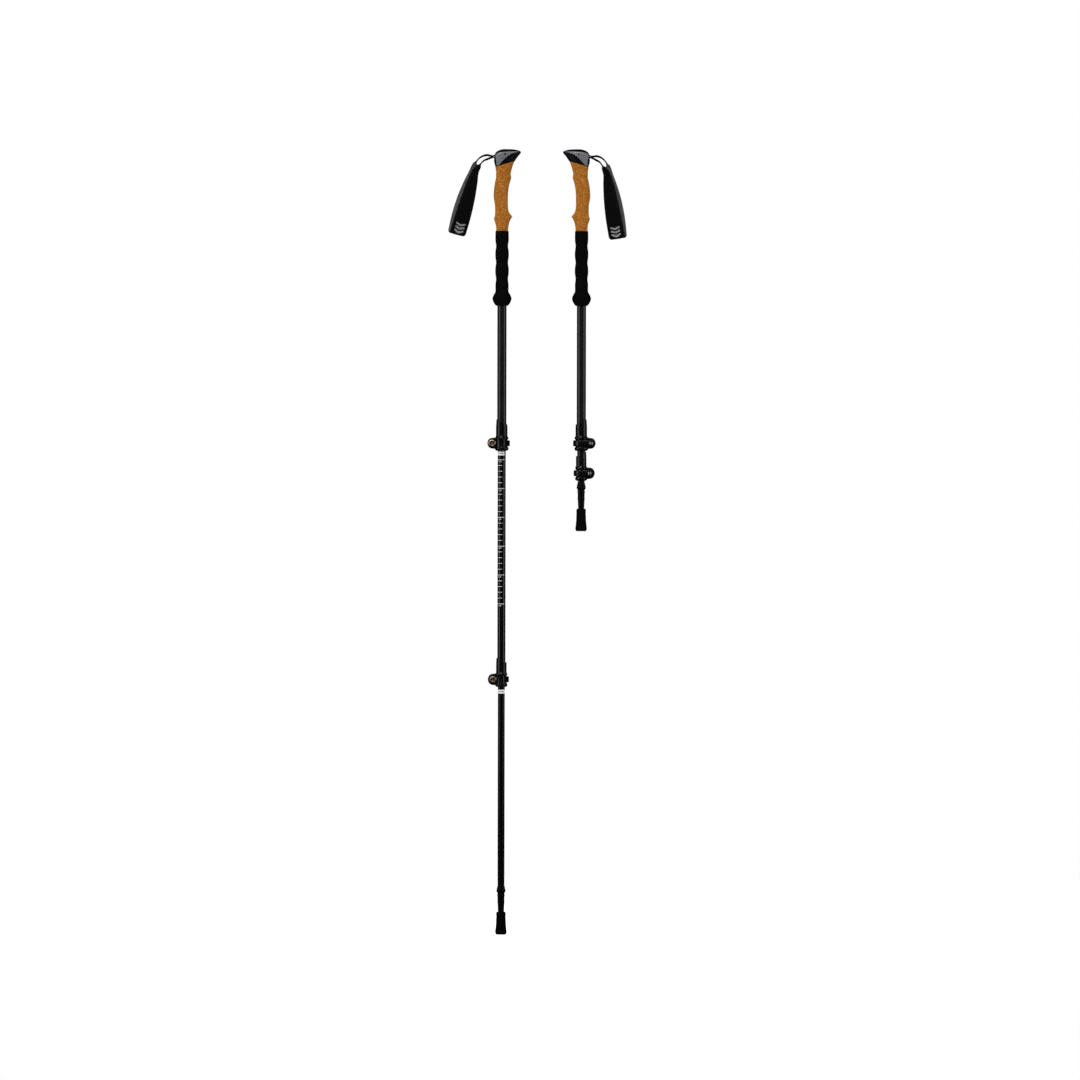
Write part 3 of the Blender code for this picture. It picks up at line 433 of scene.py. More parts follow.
class Bundle:
    """Points and faces gathered from several shapes, with cloth coordinates where given."""

    def __init__(self):
        self.points = []
        self.faces = []
        self.cloth = []

    def add(self, shape, cloth=None, matrix=None):
        points, faces = shape
        start = len(self.points)
        points = [Vector(point) for point in points]
        if matrix is not None:
            points = [matrix @ point for point in points]
        self.points.extend(points)
        self.faces.extend([tuple(start + i for i in face) for face in faces])
        self.cloth.extend(cloth or [(0.0, 0.0)] * len(points))
        return self

    def mesh(self, name, look=None, sharp=SHARP):
        made = bpy.data.meshes.new(name)
        made.from_pydata(self.points, [], self.faces)
        layer = made.uv_layers.new(name="cloth")
        values = []
        for loop in made.loops:
            values.extend(self.cloth[loop.vertex_index])
        layer.data.foreach_set("uv", values)
        return tidy_mesh(made, look, sharp)


def solid(name, look, shape, cloth=None, sharp=SHARP, matrix=None):
    """A mesh of a single shape."""
    return Bundle().add(shape, cloth, matrix).mesh(name, look, sharp)


def as_shape(mesh):
    """The points and faces of a mesh."""
    return [v.co.copy() for v in mesh.vertices], [tuple(f.vertices) for f in mesh.polygons]


def tidy_mesh(mesh, look, sharp):
    """Welds the mesh, turns its faces outwards and shades it smooth but for its edges."""
    shape = bmesh.new()
    shape.from_mesh(mesh)
    bmesh.ops.remove_doubles(shape, verts=shape.verts, dist=0.002 * MM)
    bmesh.ops.dissolve_degenerate(shape, edges=shape.edges, dist=0.001 * MM)
    bmesh.ops.recalc_face_normals(shape, faces=shape.faces)
    shape.to_mesh(mesh)
    shape.free()
    mesh.shade_smooth()
    mesh.set_sharp_from_angle(angle=math.radians(sharp))
    if look is not None:
        mesh.materials.clear()
        mesh.materials.append(look)
    return mesh


def skin(rings, loop=False):
    """A skin over equal closed rings; open ends are capped."""
    count = len(rings[0])
    points = [Vector(point) for ring in rings for point in ring]
    faces = []
    spans = len(rings) if loop else len(rings) - 1
    for i in range(spans):
        here, there = i * count, ((i + 1) % len(rings)) * count
        for j in range(count):
            k = (j + 1) % count
            faces.append((here + j, here + k, there + k, there + j))
    if not loop:
        for i in (0, len(rings) - 1):
            ring = points[i * count:(i + 1) * count]
            if (ring[0] - ring[count // 2]).length > 0.01 * MM:
                faces.append(tuple(range(i * count, (i + 1) * count)))
    return points, faces


def rounded(line, radius, closed=False, steps=4):
    """A line with its corners rounded; a corner takes at most 45% of its shorter side."""
    count = len(line)
    out = []
    for i, point in enumerate(line):
        here = Vector(point)
        if not closed and i in (0, count - 1):
            out.append(tuple(here))
            continue
        before = Vector(line[i - 1]) - here
        after = Vector(line[(i + 1) % count]) - here
        if before.length < 1e-7 or after.length < 1e-7 or before.angle(-after) < 0.08:
            out.append(tuple(here))
            continue
        reach = min(radius, 0.45 * before.length, 0.45 * after.length)
        start = here + before.normalized() * reach
        end = here + after.normalized() * reach
        for step in range(steps + 1):
            t = step / steps
            out.append(tuple(start * (1 - t) ** 2 + here * 2 * t * (1 - t) + end * t**2))
    return out


def lathe(profile, closed=False, sides=96):
    """(radius, height) points turned about Z."""
    turns = circle(sides)
    return skin([[(radius * x, radius * y, height) for x, y in turns]
                 for radius, height in profile], closed)


def rod(radius, start, end, edge=0.3 * MM, sides=64):
    """A solid turned rod along Z with softened rims."""
    return lathe(rounded([(0, start), (radius, start), (radius, end), (0, end)], edge), sides=sides)


TO_Y = Matrix.Rotation(math.pi / 2, 4, "X")  # +Z of the shape goes to -Y
FROM_Y = Matrix.Rotation(-math.pi / 2, 4, "X")  # +Z of the shape goes to +Y


def slab(size, edge=0.0):
    """A block centred on its origin, with its edges along Y and Z rounded."""
    x, y, z = (value / 2 for value in size)
    outline = [(-x, -y), (x, -y), (x, y), (-x, y)]
    if edge:
        outline = rounded(outline, edge, closed=True)
    return skin([[(px, py, height) for px, py in outline] for height in (-z, z)])


def slide(x=0.0, y=0.0, z=0.0):
    return Matrix.Translation((x, y, z))


def applied(*things):
    """The first object's mesh as its modifiers leave it; all the objects are removed."""
    graph = bpy.context.evaluated_depsgraph_get()
    result = bpy.data.meshes.new_from_object(things[0].evaluated_get(graph))
    for thing in things:
        bpy.data.objects.remove(thing, do_unlink=True)
    return result


def boolean(mesh, tool, operation="DIFFERENCE"):
    """A mesh with another cut from it, or joined or intersected with it."""
    first, second = linked("first", mesh), linked("second", tool)
    modifier = first.modifiers.new("cut", "BOOLEAN")
    modifier.object = second
    modifier.operation = operation
    modifier.solver = "EXACT"
    return applied(first, second)


def softened(mesh):
    """A mesh with its edges bevelled."""
    thing = linked("softened", mesh)
    bevel = thing.modifiers.new("edge", "BEVEL")
    bevel.width = 0.3 * MM
    bevel.segments = 2
    bevel.limit_method = "ANGLE"
    bevel.angle_limit = math.radians(40)
    return applied(thing)


def cutter(shape, matrix=None):
    return solid("cutter", None, shape, matrix=matrix)


def put(name, mesh, section, body, replaced=(), sides=SIDES):
    """The piece on each pole, riding on its body and standing for its CAD nodes."""
    made = {}
    for side in sides:
        if section == "strap":  # each strap is its own mesh, turned with its pin
            mesh.transform(PLACES[side]["upper"].inverted() @ PLACES[side]["strap"])
        thing = linked(side + name, mesh)
        thing.matrix_world = PLACES[side]["upper" if section == "strap" else section]
        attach(thing, side + body)
        if replaced:
            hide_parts(*[side + node for node in replaced])
        made[side] = thing
    return made


def smooth_value(values, place_along):
    """Catmull-Rom interpolation through a list of numbers or vectors."""
    last = len(values) - 1
    index = max(0, min(int(place_along), last - 1))
    t = place_along - index
    before, start = values[max(index - 1, 0)], values[index]
    end, after = values[index + 1], values[min(index + 2, last)]
    slope_in, slope_out = (end - before) * 0.5, (after - start) * 0.5
    return (
        start * (2 * t**3 - 3 * t**2 + 1) + slope_in * (t**3 - 2 * t**2 + t)
        + end * (-2 * t**3 + 3 * t**2) + slope_out * (t**3 - t**2)
    )


def between(values, steps):
    """Every value and steps - 1 smooth ones between each two."""
    count = (len(values) - 1) * steps
    return [smooth_value(values, i / steps) for i in range(count + 1)]


def depth(value):
    return POLE_LENGTH - value


def smooth_step(share):
    share = max(0.0, min(1.0, share))
    return share * share * (3 - 2 * share)


# ---------------------------------------------------------------- head

RING = 72
HEAD_SECTIONS = [
    ((5, 0.05), (14, 0.05), 3.5),
    ((-0.5, 0.7), (21, 0.5), 8.5),
    ((-5, 1.9), (26.4, 1.6), 11.3),
    ((-8.3, 3.5), (30.2, 2.9), 13.3),
    ((-10.9, 5.4), (32.4, 4.6), 14.6),
    ((-13.2, 8.9), (32.2, 6.6), 15.3),
    ((-14.1, 12.3), (30.5, 9), 15.3),
    ((-14.9, 15.8), (27.6, 12.3), 14.9),
    ((-14.1, 19.5), (25.2, 15.8), 14.2),
    ((-13.1, 25), (23, 19), 13.4),
    ((-11.9, 31), (21.6, 21), 12.9),
]
CORK_SECTIONS = [
    ((-11.9, 31.3), (20.9, 21.5), 12.7),
    ((-11.4, 34.5), (18.6, 28), 12.5),
    ((-10.7, 39), (16.5, 35), 12.3),
    ((-10.7, 44), (14.8, 43.5), 12.2),
    ((-10.8, 50), (15.8, 49.5), 12.4),
    ((-12.3, 57), (13.6, 57), 12.6),
    ((-13.8, 66), (11.5, 66), 12.9),
    ((-14.9, 80), (10.2, 78), 13),
    ((-14.2, 88.5), (10, 90), 12.7),
    ((-12.6, 97), (10.1, 99), 12.4),
    ((-12.3, 106), (11.2, 107), 12.4),
    ((-12.4, 112), (13.8, 112), 12.8),
    ((-12.9, 116.5), (17.4, 117), 13.5),
    ((-14.2, 120.8), (15.3, 121), 13.7),
    ((-12.9, 126), (13, 126), 12.8),
    ((-11.3, 130.4), (11.8, 130.4), 11.9),
    ((-10.4, 137), (10.8, 137), 11),
    ((-10.5, 142.2), (10.5, 142.2), 10.5),
]
FOAM_PROFILE = [  # mm: depth, radius
    (142.5, 11.5), (158, 11.6), (168, 10.4), (178, 11.6), (187, 11.6), (197, 10.4),
    (207, 11.6), (216, 11.6), (225, 10.4), (235, 11.4), (247, 11.5), (252.5, 14.2),
    (258.5, 16.5), (263.5, 15.6), (267, 14), (270, 12), (272, 9.6),
]
CHEEK_OUTLINE = [  # mm: x, depth
    (28.4, 4.9), (28, 4.1), (20, 4.2), (9.4, 4.7), (1.2, 5.6), (-6.6, 6.8), (-10.2, 8.4),
    (-11.9, 10.6), (-11.7, 14), (-10.4, 20.4), (-9.6, 26), (-9.6, 29.2), (-5.6, 28),
    (-3.1, 25.2), (-0.6, 22.6), (4.2, 17.3), (7.6, 14), (11, 11.2), (14.4, 9.2),
    (18.4, 7.5), (24.4, 5.7),
]
MIDDLE_SHARE = 0.1  # the middle of a section, as a share of the sum of its two ends
HEAD_PINCH = 0.38
FRONT_ROUNDNESS = 2.1
BACK_ROUNDNESS = 3.4
HEAD_BORE_DEPTH = 19.2 * MM
CHEEK_PROUD = 0.25  # mm the cheeks stand out of the black head, inside their groove
HEAD_SCREW_AT = (5 * MM, 9.4 * MM)
CHEEK_REAR_SEAT = 10.1 * MM
STRAP_POCKET_RADIUS = 6.2 * MM
STRAP_POCKET_HALF = 7.8 * MM
ACROSS = 20 * MM  # reaches past the head on either side


def section(back_x, back_depth, front_x, front_depth, half_width, pinch, inset=0.0):
    """One closed ring of the grip: blunt at the back, rounder and pinched at the front."""
    middle = MIDDLE_SHARE * front_x + MIDDLE_SHARE * back_x
    ring = []
    for along, across in circle(RING):
        power = 2 / (FRONT_ROUNDNESS if along > 0 else BACK_ROUNDNESS)
        reach = (front_x - middle) if along > 0 else (middle - back_x)
        along, across = blunt(along, power), blunt(across, power)
        x = middle + (reach - inset) * along
        y = (half_width - inset) * across * (1 - pinch * max(along, 0))
        share = (x - back_x) / (front_x - back_x)
        down = back_depth + share * (front_depth - back_depth)
        ring.append((x * MM, y * MM, depth(down * MM)))
    return ring


def flat_rows(rows):
    """Each section as five numbers, so that whole rows can be smoothed."""
    return [Vector((*back, *front, half)) for back, front, half in rows]


def head_rings(inset=0.0, steps=5):
    rows = between(flat_rows(HEAD_SECTIONS), steps)
    rings = []
    for i, row in enumerate(rows):
        pinch = HEAD_PINCH * (1 - i / (len(rows) - 1)) ** 0.5
        rings.append(section(*row, pinch, inset))
    return rings


def cheek_outline(grow):
    """The cheek's outline in metres, rounded and grown by a margin in mm."""
    points = [Vector((x, POLE_LENGTH / MM - down)) for x, down in CHEEK_OUTLINE]
    outline = []
    for i, point in enumerate(points):
        along = (points[(i + 1) % len(points)] - points[i - 1]).normalized()
        moved = point + grow * Vector((along.y, -along.x))
        outline.append((moved.x * MM, moved.y * MM))
    return rounded(outline, 1.6 * MM, closed=True, steps=3)


def cheek_prism(grow, low, high):
    outline = cheek_outline(grow)
    return skin([[(x, y, z) for x, z in outline] for y in (low, high)])


def head_tool(inset):
    return cutter(skin(head_rings(inset)))


def rear_core(half_width):
    """The block at the back of the head that the pockets for the cheeks leave standing."""
    core = slab((20 * MM, 2 * half_width, 40 * MM))
    return cutter(core, slide(STRAP_PIN_AT[0] - 8 * MM, 0, depth(STRAP_PIN_AT[1])))


head = cutter(skin(head_rings()))
pocket = boolean(cutter(cheek_prism(0.35, -ACROSS, ACROSS)), head_tool(1.5))
pocket = boolean(pocket, rear_core(CHEEK_REAR_SEAT))
head = boolean(head, pocket)
screw_at = slide(HEAD_SCREW_AT[0], 0, depth(HEAD_SCREW_AT[1]))
screw_hole = rod(1.8 * MM, -ACROSS, ACROSS, sides=32)
head = boolean(head, cutter(screw_hole, screw_at @ TO_Y))
bore_top = depth(HEAD_BORE_DEPTH)
head = boolean(head, cutter(rod(UPPER_RADIUS + 0.2 * MM, bore_top - 60 * MM, bore_top)))
pin_at = slide(STRAP_PIN_AT[0], 0, depth(STRAP_PIN_AT[1]))
slot_shape = rod(STRAP_POCKET_RADIUS, -STRAP_POCKET_HALF, STRAP_POCKET_HALF, 0.8 * MM)
head = boolean(head, cutter(slot_shape, pin_at @ TO_Y))
wedge_room = slab((20 * MM, 12.6 * MM, 11.2 * MM), 0.5 * MM)
head = boolean(head, cutter(wedge_room, slide(-19.1 * MM, 0, depth(20.9 * MM))))
put("head_shell", tidy_mesh(head, HEAD_BLACK, 30), "upper", "upper", ["head"])

for name, low, high in (("near", -ACROSS, -MM), ("far", MM, ACROSS)):
    outer = cutter(skin(head_rings(-CHEEK_PROUD)))
    cheek = boolean(outer, cutter(cheek_prism(0, low, high)), "INTERSECT")
    cheek = boolean(cheek, head_tool(1.3))
    cheek = boolean(cheek, rear_core(CHEEK_REAR_SEAT + 0.2 * MM))
    cheek = boolean(cheek, cutter(screw_hole, screw_at @ TO_Y))
    cheek = softened(tidy_mesh(cheek, CHEEK, 30))
    put("cheek_cover_" + name, tidy_mesh(cheek, CHEEK, 30), "upper", "upper",
        ["head_cheek_" + name])

# Head screw: a countersunk barrel with a dished end on both sides.
screw = Bundle()
for turn in (TO_Y, FROM_Y):
    end = lathe(rounded([
        (0, 0), (1.5 * MM, 0), (1.5 * MM, 12.0 * MM), (0.95 * MM, 12.0 * MM),
        (0.8 * MM, 11.2 * MM), (0, 11.2 * MM),
    ], 0.15 * MM), sides=36)
    screw.add(end, matrix=screw_at @ turn)
put("head_screw_barrel", screw.mesh("head_screw_barrel", STEEL), "upper", "upper",
    ["head_screw"])

# Strap lock: a wedge with fine grip ribs across its back.
WEDGE = [(-14.2, 19), (-12.9, 26.3), (-9.4, 26.3), (-9.4, 19)]
WEDGE_RIBS = 5
line = [Vector((x * MM, depth(down * MM))) for x, down in WEDGE]
back_top, back_bottom = line[0], line[1]
outline = [tuple(back_top)]
for i in range(WEDGE_RIBS):
    for share, proud in ((0.25, 0.0), (0.45, 0.3), (0.65, 0.3), (0.85, 0.0)):
        point = back_top.lerp(back_bottom, (i + share) / WEDGE_RIBS)
        outline.append((point.x + (proud - 0.3) * MM, point.y))
outline += [tuple(back_bottom), tuple(line[2]), tuple(line[3])]
middle = Vector((-11.5 * MM, depth(22.6 * MM)))
wedge_rings = []
for y, shrink in ((-5.9, 0.94), (-5.4, 1.0), (5.4, 1.0), (5.9, 0.94)):
    wedge_rings.append([
        (middle.x + (x - middle.x) * shrink, y * MM, middle.y + (z - middle.y) * shrink)
        for x, z in outline
    ])
wedge = solid("strap_lock_wedge", HEAD_BLACK, skin(wedge_rings), sharp=50)
put("strap_lock_wedge", wedge, "upper", "wedge", ["strap_wedge"])

# ---------------------------------------------------------------- grips


def bored(rings, bore):
    """A skin over rings with a round hole between its end rings."""
    count = len(rings[0])
    layers = list(rings)
    for ring in (rings[-1], rings[0]):
        run = ring[0][0] - ring[count // 2][0]
        slope = (ring[0][2] - ring[count // 2][2]) / run
        middle = ring[0][2] - slope * ring[0][0]
        layers.append([(bore * x, bore * y, middle + slope * bore * x)
                       for x, y in circle(count)])
    return skin(layers, loop=True)


CORK_LIP = 0.5  # mm that the ends of the cork are rounded over
rows = between(flat_rows(CORK_SECTIONS), 6)
cork_rings = [section(*row, 0.0) for row in rows]
cork_rings.insert(0, section(*rows[0], 0.0, inset=CORK_LIP))
cork_rings.append(section(*rows[-1], 0.0, inset=CORK_LIP))
cork = solid("cork_body", CORK, bored(cork_rings, UPPER_RADIUS + 0.15 * MM), sharp=50)
put("cork_body", cork, "upper", "upper", ["cork_grip"])

line = between([Vector((radius, down)) for down, radius in FOAM_PROFILE], 6)
profile = [(point.x * MM, depth(point.y * MM)) for point in line]
bore = UPPER_RADIUS + 0.1 * MM
profile += [(bore, profile[-1][1] + 0.2 * MM), (bore, profile[0][1])]
foam = solid("foam_sleeve", FOAM, lathe(profile, closed=True), sharp=50)
for thing in put("foam_sleeve", foam, "upper", "upper", ["foam_grip"]).values():
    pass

# ---------------------------------------------------------------- wrist strap

STRAP_LINE = [
    (0, 0), (-4, 0.6), (-8.5, 1.1), (-14.5, 1.6), (-22.5, 4.6), (-29.4, 11.7), (-36.2, 24.9),
    (-42.4, 45), (-50, 71), (-58.2, 101), (-65.8, 130.5),
]
STRAP_SPREAD = [4.3, 2.4, 3.8, 7.2, 8, 8.6, 8, 12, 17, 16, 9]
STRAP_TURN = [0, 0.04, 0.12, 0.14, 0.08, 0.1, 0.85, 0.97, 1, 1, 1]
STRAP_WIDTHS = [14, 14, 14, 14, 14, 14, 13.5, 20, 25.5, 29, 30]
STRAP_TWIST = math.radians(68)
PAD_FROM = 5.2
WEBBING_THICKNESS = 1.6 * MM
PAD_THICKNESS = 3 * MM
PAD_STEPS = 96  # stations along each leg of the pad
PAD_INSET = 0.35  # how far the webbing runs into the pad, in stations of the strap's line
BAND_ROUNDNESS = 2.6
BINDING_WIDTH, BINDING_INSET = 2.6 * MM, 1.3 * MM
THREAD_RADIUS = 0.2  # mm
STITCH_PITCH, STITCH_LENGTH = 3.1 * MM, 2.2 * MM
STITCH_INSET = 3.6 * MM
TACK_STITCHES, TACK_SPACING = 9, 0.075  # their spacing is a share of the strap's width
TACK_STATIONS = 14
CHEVRONS, CHEVRON_TALL, CHEVRON_HALF = 3, 3.2 * MM, 8.5
CHEVRON_START, CHEVRON_PITCH, CHEVRON_LEAN = 13 * MM, 6.2, -0.35
FOLD_STEPS = 18
FOLD_NARROWING = 0.14  # how much the pad's rounded corners take off its width at the fold


def strap_station(place_along, twist_side):
    """Centre, direction, spread direction, width direction, spread and width of the loop."""
    line = [Vector((x, 0, -down)) * MM for x, down in STRAP_LINE]
    centre = smooth_value(line, place_along)
    ahead = smooth_value(line, min(place_along + 0.02, len(line) - 1))
    behind = smooth_value(line, max(place_along - 0.02, 0))
    direction = (ahead - behind).normalized()
    outward = Vector((direction.z, 0, -direction.x))
    turn = STRAP_TWIST * twist_side * smooth_value(STRAP_TURN, place_along)
    across = Vector((0, 1, 0))
    apart = outward * math.cos(turn) + across * math.sin(turn)
    wide = across * math.cos(turn) - outward * math.sin(turn)
    spread = smooth_value(STRAP_SPREAD, place_along) * MM
    width = smooth_value(STRAP_WIDTHS, place_along) * MM
    return centre, direction, apart, wide, spread, width


def strap_path(start, end, twist_side, bottom, steps):
    """Stations of (centre, width direction, outer face direction, width) round a U."""
    inner, outer = [], []
    for i in range(steps + 1):
        along = start + (end - start) * i / steps
        centre, _, apart, wide, spread, width = strap_station(along, twist_side)
        inner.append((centre - apart * spread / 2, wide, -apart, width))
        outer.append((centre + apart * spread / 2, wide, apart, width))
    centre, direction, apart, wide, spread, width = strap_station(
        end if bottom else start, twist_side
    )
    direction = direction if bottom else -direction
    fold = []
    for i in range(1, FOLD_STEPS):
        angle = math.pi * i / FOLD_STEPS
        thick = -apart * math.cos(angle) + direction * math.sin(angle)
        narrow = 1 - FOLD_NARROWING * math.sin(angle) ** 3 if bottom else 1
        fold.append((centre + thick * spread / 2, wide, thick, width * narrow))
    if bottom:
        return inner + fold + outer[::-1]
    return inner[::-1] + fold + outer


def lengths(path):
    total, out = 0.0, [0.0]
    for one, two in zip(path, path[1:]):
        total += (two[0] - one[0]).length
        out.append(total)
    return out


def station_at(path, where, reached):
    """The station at a length along the path."""
    for i in range(len(path) - 1):
        if where <= reached[i + 1] or i == len(path) - 2:
            share = (where - reached[i]) / max(reached[i + 1] - reached[i], 1e-9)
            one, two = path[i], path[i + 1]
            return (
                one[0].lerp(two[0], share), one[1].lerp(two[1], share).normalized(),
                one[2].lerp(two[2], share).normalized(), one[3] + (two[3] - one[3]) * share,
            )
    return path[-1]


def band(path, thickness, crown=0.0, lift=0.0, trim=0.0, sides=28, corner=7.0, taper=0.0):
    """A soft-edged band along a path, and its cloth coordinates. All in metres."""
    reached = lengths(path)
    rings, cloth = [], []
    for (centre, wide, thick, width), where in zip(path, reached):
        width -= 2 * trim
        near_end = min(where, reached[-1] - where)
        ease = smooth_step(near_end / taper) if taper else 1.0
        ring = []
        for across, through in circle(sides):
            across, through = blunt(across, 2 / corner), blunt(through, 2 / BAND_ROUNDNESS)
            swell = crown * (1 - across**2) * ease if through > 0 else 0.0
            y = across * width / 2
            z = through * thickness / 2 * (0.55 + 0.45 * ease) + swell + lift
            ring.append(centre + wide * y + thick * z)
            cloth.append((y, where))
        rings.append(ring)
    return skin(rings), cloth


def edge_band(path, side, thickness, width, inset):
    """A narrow binding along one edge of a band."""
    moved = []
    for centre, wide, thick, whole in path:
        moved.append((centre + wide * side * (whole / 2 - inset), wide, thick, width))
    return band(moved, thickness, corner=3.0, sides=16)


def thread_ring(point, one, two, size=1.0):
    """A ring of thread round a point, in the plane of two directions."""
    return [point + (one * x + two * y) * THREAD_RADIUS * MM * size for x, y in circle(6)]


def stitch_row(bundle, path, side, inset, height):
    """Stitches lying on a band's face, one row along an edge."""
    reached = lengths(path)
    where = STITCH_PITCH
    while where + STITCH_LENGTH < reached[-1]:
        rings = []
        for share, size in ((0, 0.35), (0.2, 1.0), (0.5, 1.15), (0.8, 1.0), (1, 0.35)):
            centre, wide, thick, width = station_at(path, where + STITCH_LENGTH * share, reached)
            sink = -0.12 * MM if share in (0, 1) else 0.0
            point = centre + wide * side * (width / 2 - inset) + thick * (height + sink)
            rings.append(thread_ring(point, wide, thick, size))
        shape = skin(rings)
        bundle.add(shape, [(side * inset, where)] * len(shape[0]))
        where += STITCH_PITCH


def patch(bundle, path, reached, low, high, left, right, height, lean):
    """A thin printed patch on a band's outer face, between two lengths and two offsets."""
    rows = columns = 8
    top, under = [], []
    for layer, rise in ((top, height + 0.1 * MM), (under, height - 0.15 * MM)):
        for i in range(rows + 1):
            for j in range(columns + 1):
                across = left + (right - left) * j / columns
                where = low + (high - low) * i / rows + lean * abs(across)
                centre, wide, thick, _ = station_at(path, where, reached)
                layer.append(centre + wide * across + thick * rise)
    faces = []
    count = (rows + 1) * (columns + 1)
    across = columns + 1
    for i in range(rows):
        for j in range(columns):
            a = i * across + j
            faces.append((a, a + 1, a + across + 1, a + across))
            b = a + count
            faces.append((b, b + across, b + across + 1, b + 1))
    border = list(range(across))
    border += [i * across + columns for i in range(1, rows + 1)]
    border += [rows * across + j for j in range(columns - 1, -1, -1)]
    border += [i * across for i in range(rows - 1, 0, -1)]
    for one, two in zip(border, border[1:] + border[:1]):
        faces.append((one, one + count, two + count, two))
    bundle.add((top + under, faces))


def bar_tack(bundle, strand, where, height):
    """A row of short stitches across a band."""
    centre, wide, thick, width = station_at(strand, where, lengths(strand))
    direction = wide.cross(thick)
    for k in range(TACK_STITCHES):
        across = (k - TACK_STITCHES // 2) * width * TACK_SPACING
        rings = []
        for share in (-0.5, 0.0, 0.5):
            point = centre + wide * (across + share * 0.9 * MM) + thick * (
                height + (0.1 - 0.25 * abs(share)) * MM
            )
            rings.append(thread_ring(point, direction, thick))
        bundle.add(skin(rings))


def strap_piece(side, mesh, replaced=()):
    """A piece of one pole's strap, named as its mesh is."""
    name = mesh.name.split(".")[0]
    return put(name, mesh, "strap", "strap", replaced, (side,))[side]


for side in SIDES:
    twist = STRAP_SIDE[side]
    webbing_path = strap_path(0, PAD_FROM + PAD_INSET, twist, bottom=False, steps=64)
    shape, cloth = band(webbing_path, WEBBING_THICKNESS, crown=0.1 * MM)
    strap_piece(side, solid("strap_web", WEBBING, shape, cloth, 60), ["strap_webbing"])

    pad_path = strap_path(PAD_FROM, len(STRAP_LINE) - 1, twist, bottom=True, steps=PAD_STEPS)
    pad_half = PAD_THICKNESS / 2
    shape, cloth = band(pad_path, PAD_THICKNESS - 0.3 * MM, crown=0.45 * MM, trim=1.0 * MM,
                        taper=9 * MM, sides=36)
    cushion = strap_piece(side, solid("strap_cushion", PAD_CLOTH, shape, cloth, 60), ["strap_pad"])

    binding = Bundle()
    for edge in (-1, 1):
        binding.add(*edge_band(pad_path, edge, PAD_THICKNESS + 0.3 * MM, BINDING_WIDTH,
                               BINDING_INSET))
    strap_piece(side, binding.mesh("strap_binding", BINDING, 60))

    shape, cloth = band(pad_path, 1.4 * MM, lift=-pad_half, trim=0.15 * MM, taper=6 * MM)
    strap_piece(side, solid("strap_lining", LINING, shape, cloth, 60))

    stitches = Bundle()
    for edge in (-1, 1):
        stitch_row(stitches, pad_path, edge, STITCH_INSET, pad_half + 0.12 * MM)
    for offset in (0.5, 1.7, 2.9):  # bar tacks where the webbing enters the pad
        for strand in (pad_path[:TACK_STATIONS], pad_path[::-1][:TACK_STATIONS]):
            bar_tack(stitches, strand, 1.2 * MM + offset * MM, pad_half)
    strap_piece(side, stitches.mesh("strap_stitches", THREAD, 60))

    # A plain printed mark of three chevrons near the bottom of the outer face.
    mark = Bundle()
    reached = lengths(pad_path)
    for k in range(CHEVRONS):
        low = reached[PAD_STEPS] - CHEVRON_START + k * CHEVRON_PITCH * MM
        for left, right in ((-CHEVRON_HALF, 0), (0, CHEVRON_HALF)):
            patch(mark, pad_path, reached, low, low + CHEVRON_TALL, left * MM, right * MM,
                  pad_half + 0.34 * MM, CHEVRON_LEAN)
    strap_piece(side, mark.mesh("strap_mark", MARK, 60))

# ---------------------------------------------------------------- tubes and their print


def tube(name, radius, ends, look, section_name, node):
    """A thin-walled tube with softened rims."""
    top, bottom = ends
    inner = radius - WALL
    profile = rounded(
        [(radius, top), (radius, bottom), (inner, bottom), (inner, top)], 0.2 * MM, closed=True
    )
    shape = lathe(profile, closed=True, sides=128)
    put(name, solid(name, look, shape), section_name, section_name, [node])


tube("upper_shaft", UPPER_RADIUS, UPPER_TUBE_ENDS, UPPER_TUBE, "upper",
     "upper_tube")
tube("mid_shaft", MID_RADIUS, MID_TUBE_ENDS, MID_TUBE, "mid", "mid_tube")
tube("lower_shaft", LOWER_RADIUS, LOWER_TUBE_ENDS, LOWER_TUBE, "lower",
     "lower_tube")

PRINT_RISE = 0.05 * MM
DASHES, FIRST_DASH, DASH_PITCH = 5, -5.2, 2.1  # the last two in mm
DASH = 1.5 * MM


def on_tube(radius, x, z):
    """A point wrapped on the near side of a tube: x runs round it from the middle."""
    angle = x / radius
    return (radius * math.sin(angle), -radius * math.cos(angle), z)


def tick(bundle, radius, left, right, middle, tall, steps=26):
    """A printed line round part of the tube."""
    points = []
    for rise in (PRINT_RISE, -PRINT_RISE):
        for z in (middle - tall / 2, middle + tall / 2):
            for i in range(steps + 1):
                x = left + (right - left) * i / steps
                points.append(on_tube(radius + rise, x * (radius + rise) / radius, z))
    row = steps + 1
    faces = []
    for i in range(steps):
        for a, b in ((0, row), (2 * row, 3 * row), (0, 2 * row), (row, 3 * row)):
            faces.append((a + i, a + i + 1, b + i + 1, b + i))
    for i in (0, steps):
        faces.append((i, row + i, 3 * row + i, 2 * row + i))
    bundle.add((points, faces))


def number(bundle, text, radius, x, z, size):
    """A number wrapped on the tube."""
    curve = bpy.data.curves.new("digits", "FONT")
    curve.body = text
    curve.size = size
    curve.align_x = "CENTER"
    curve.align_y = "CENTER"
    curve.resolution_u = 4
    shape = bmesh.new()
    shape.from_mesh(applied(linked("digits", curve)))
    width = max(v.co.x for v in shape.verts) - min(v.co.x for v in shape.verts)
    cut = -width / 2
    while cut < width / 2:
        bmesh.ops.bisect_plane(
            shape, geom=shape.verts[:] + shape.edges[:] + shape.faces[:],
            plane_co=(cut, 0, 0), plane_no=(1, 0, 0),
        )
        cut += 0.5 * MM
    shape.verts.ensure_lookup_table()
    shape.verts.index_update()
    points = [on_tube(radius + PRINT_RISE, x + vert.co.x, z + vert.co.y) for vert in shape.verts]
    faces = [tuple(vert.index for vert in face.verts) for face in shape.faces]
    shape.free()
    bundle.add((points, faces))


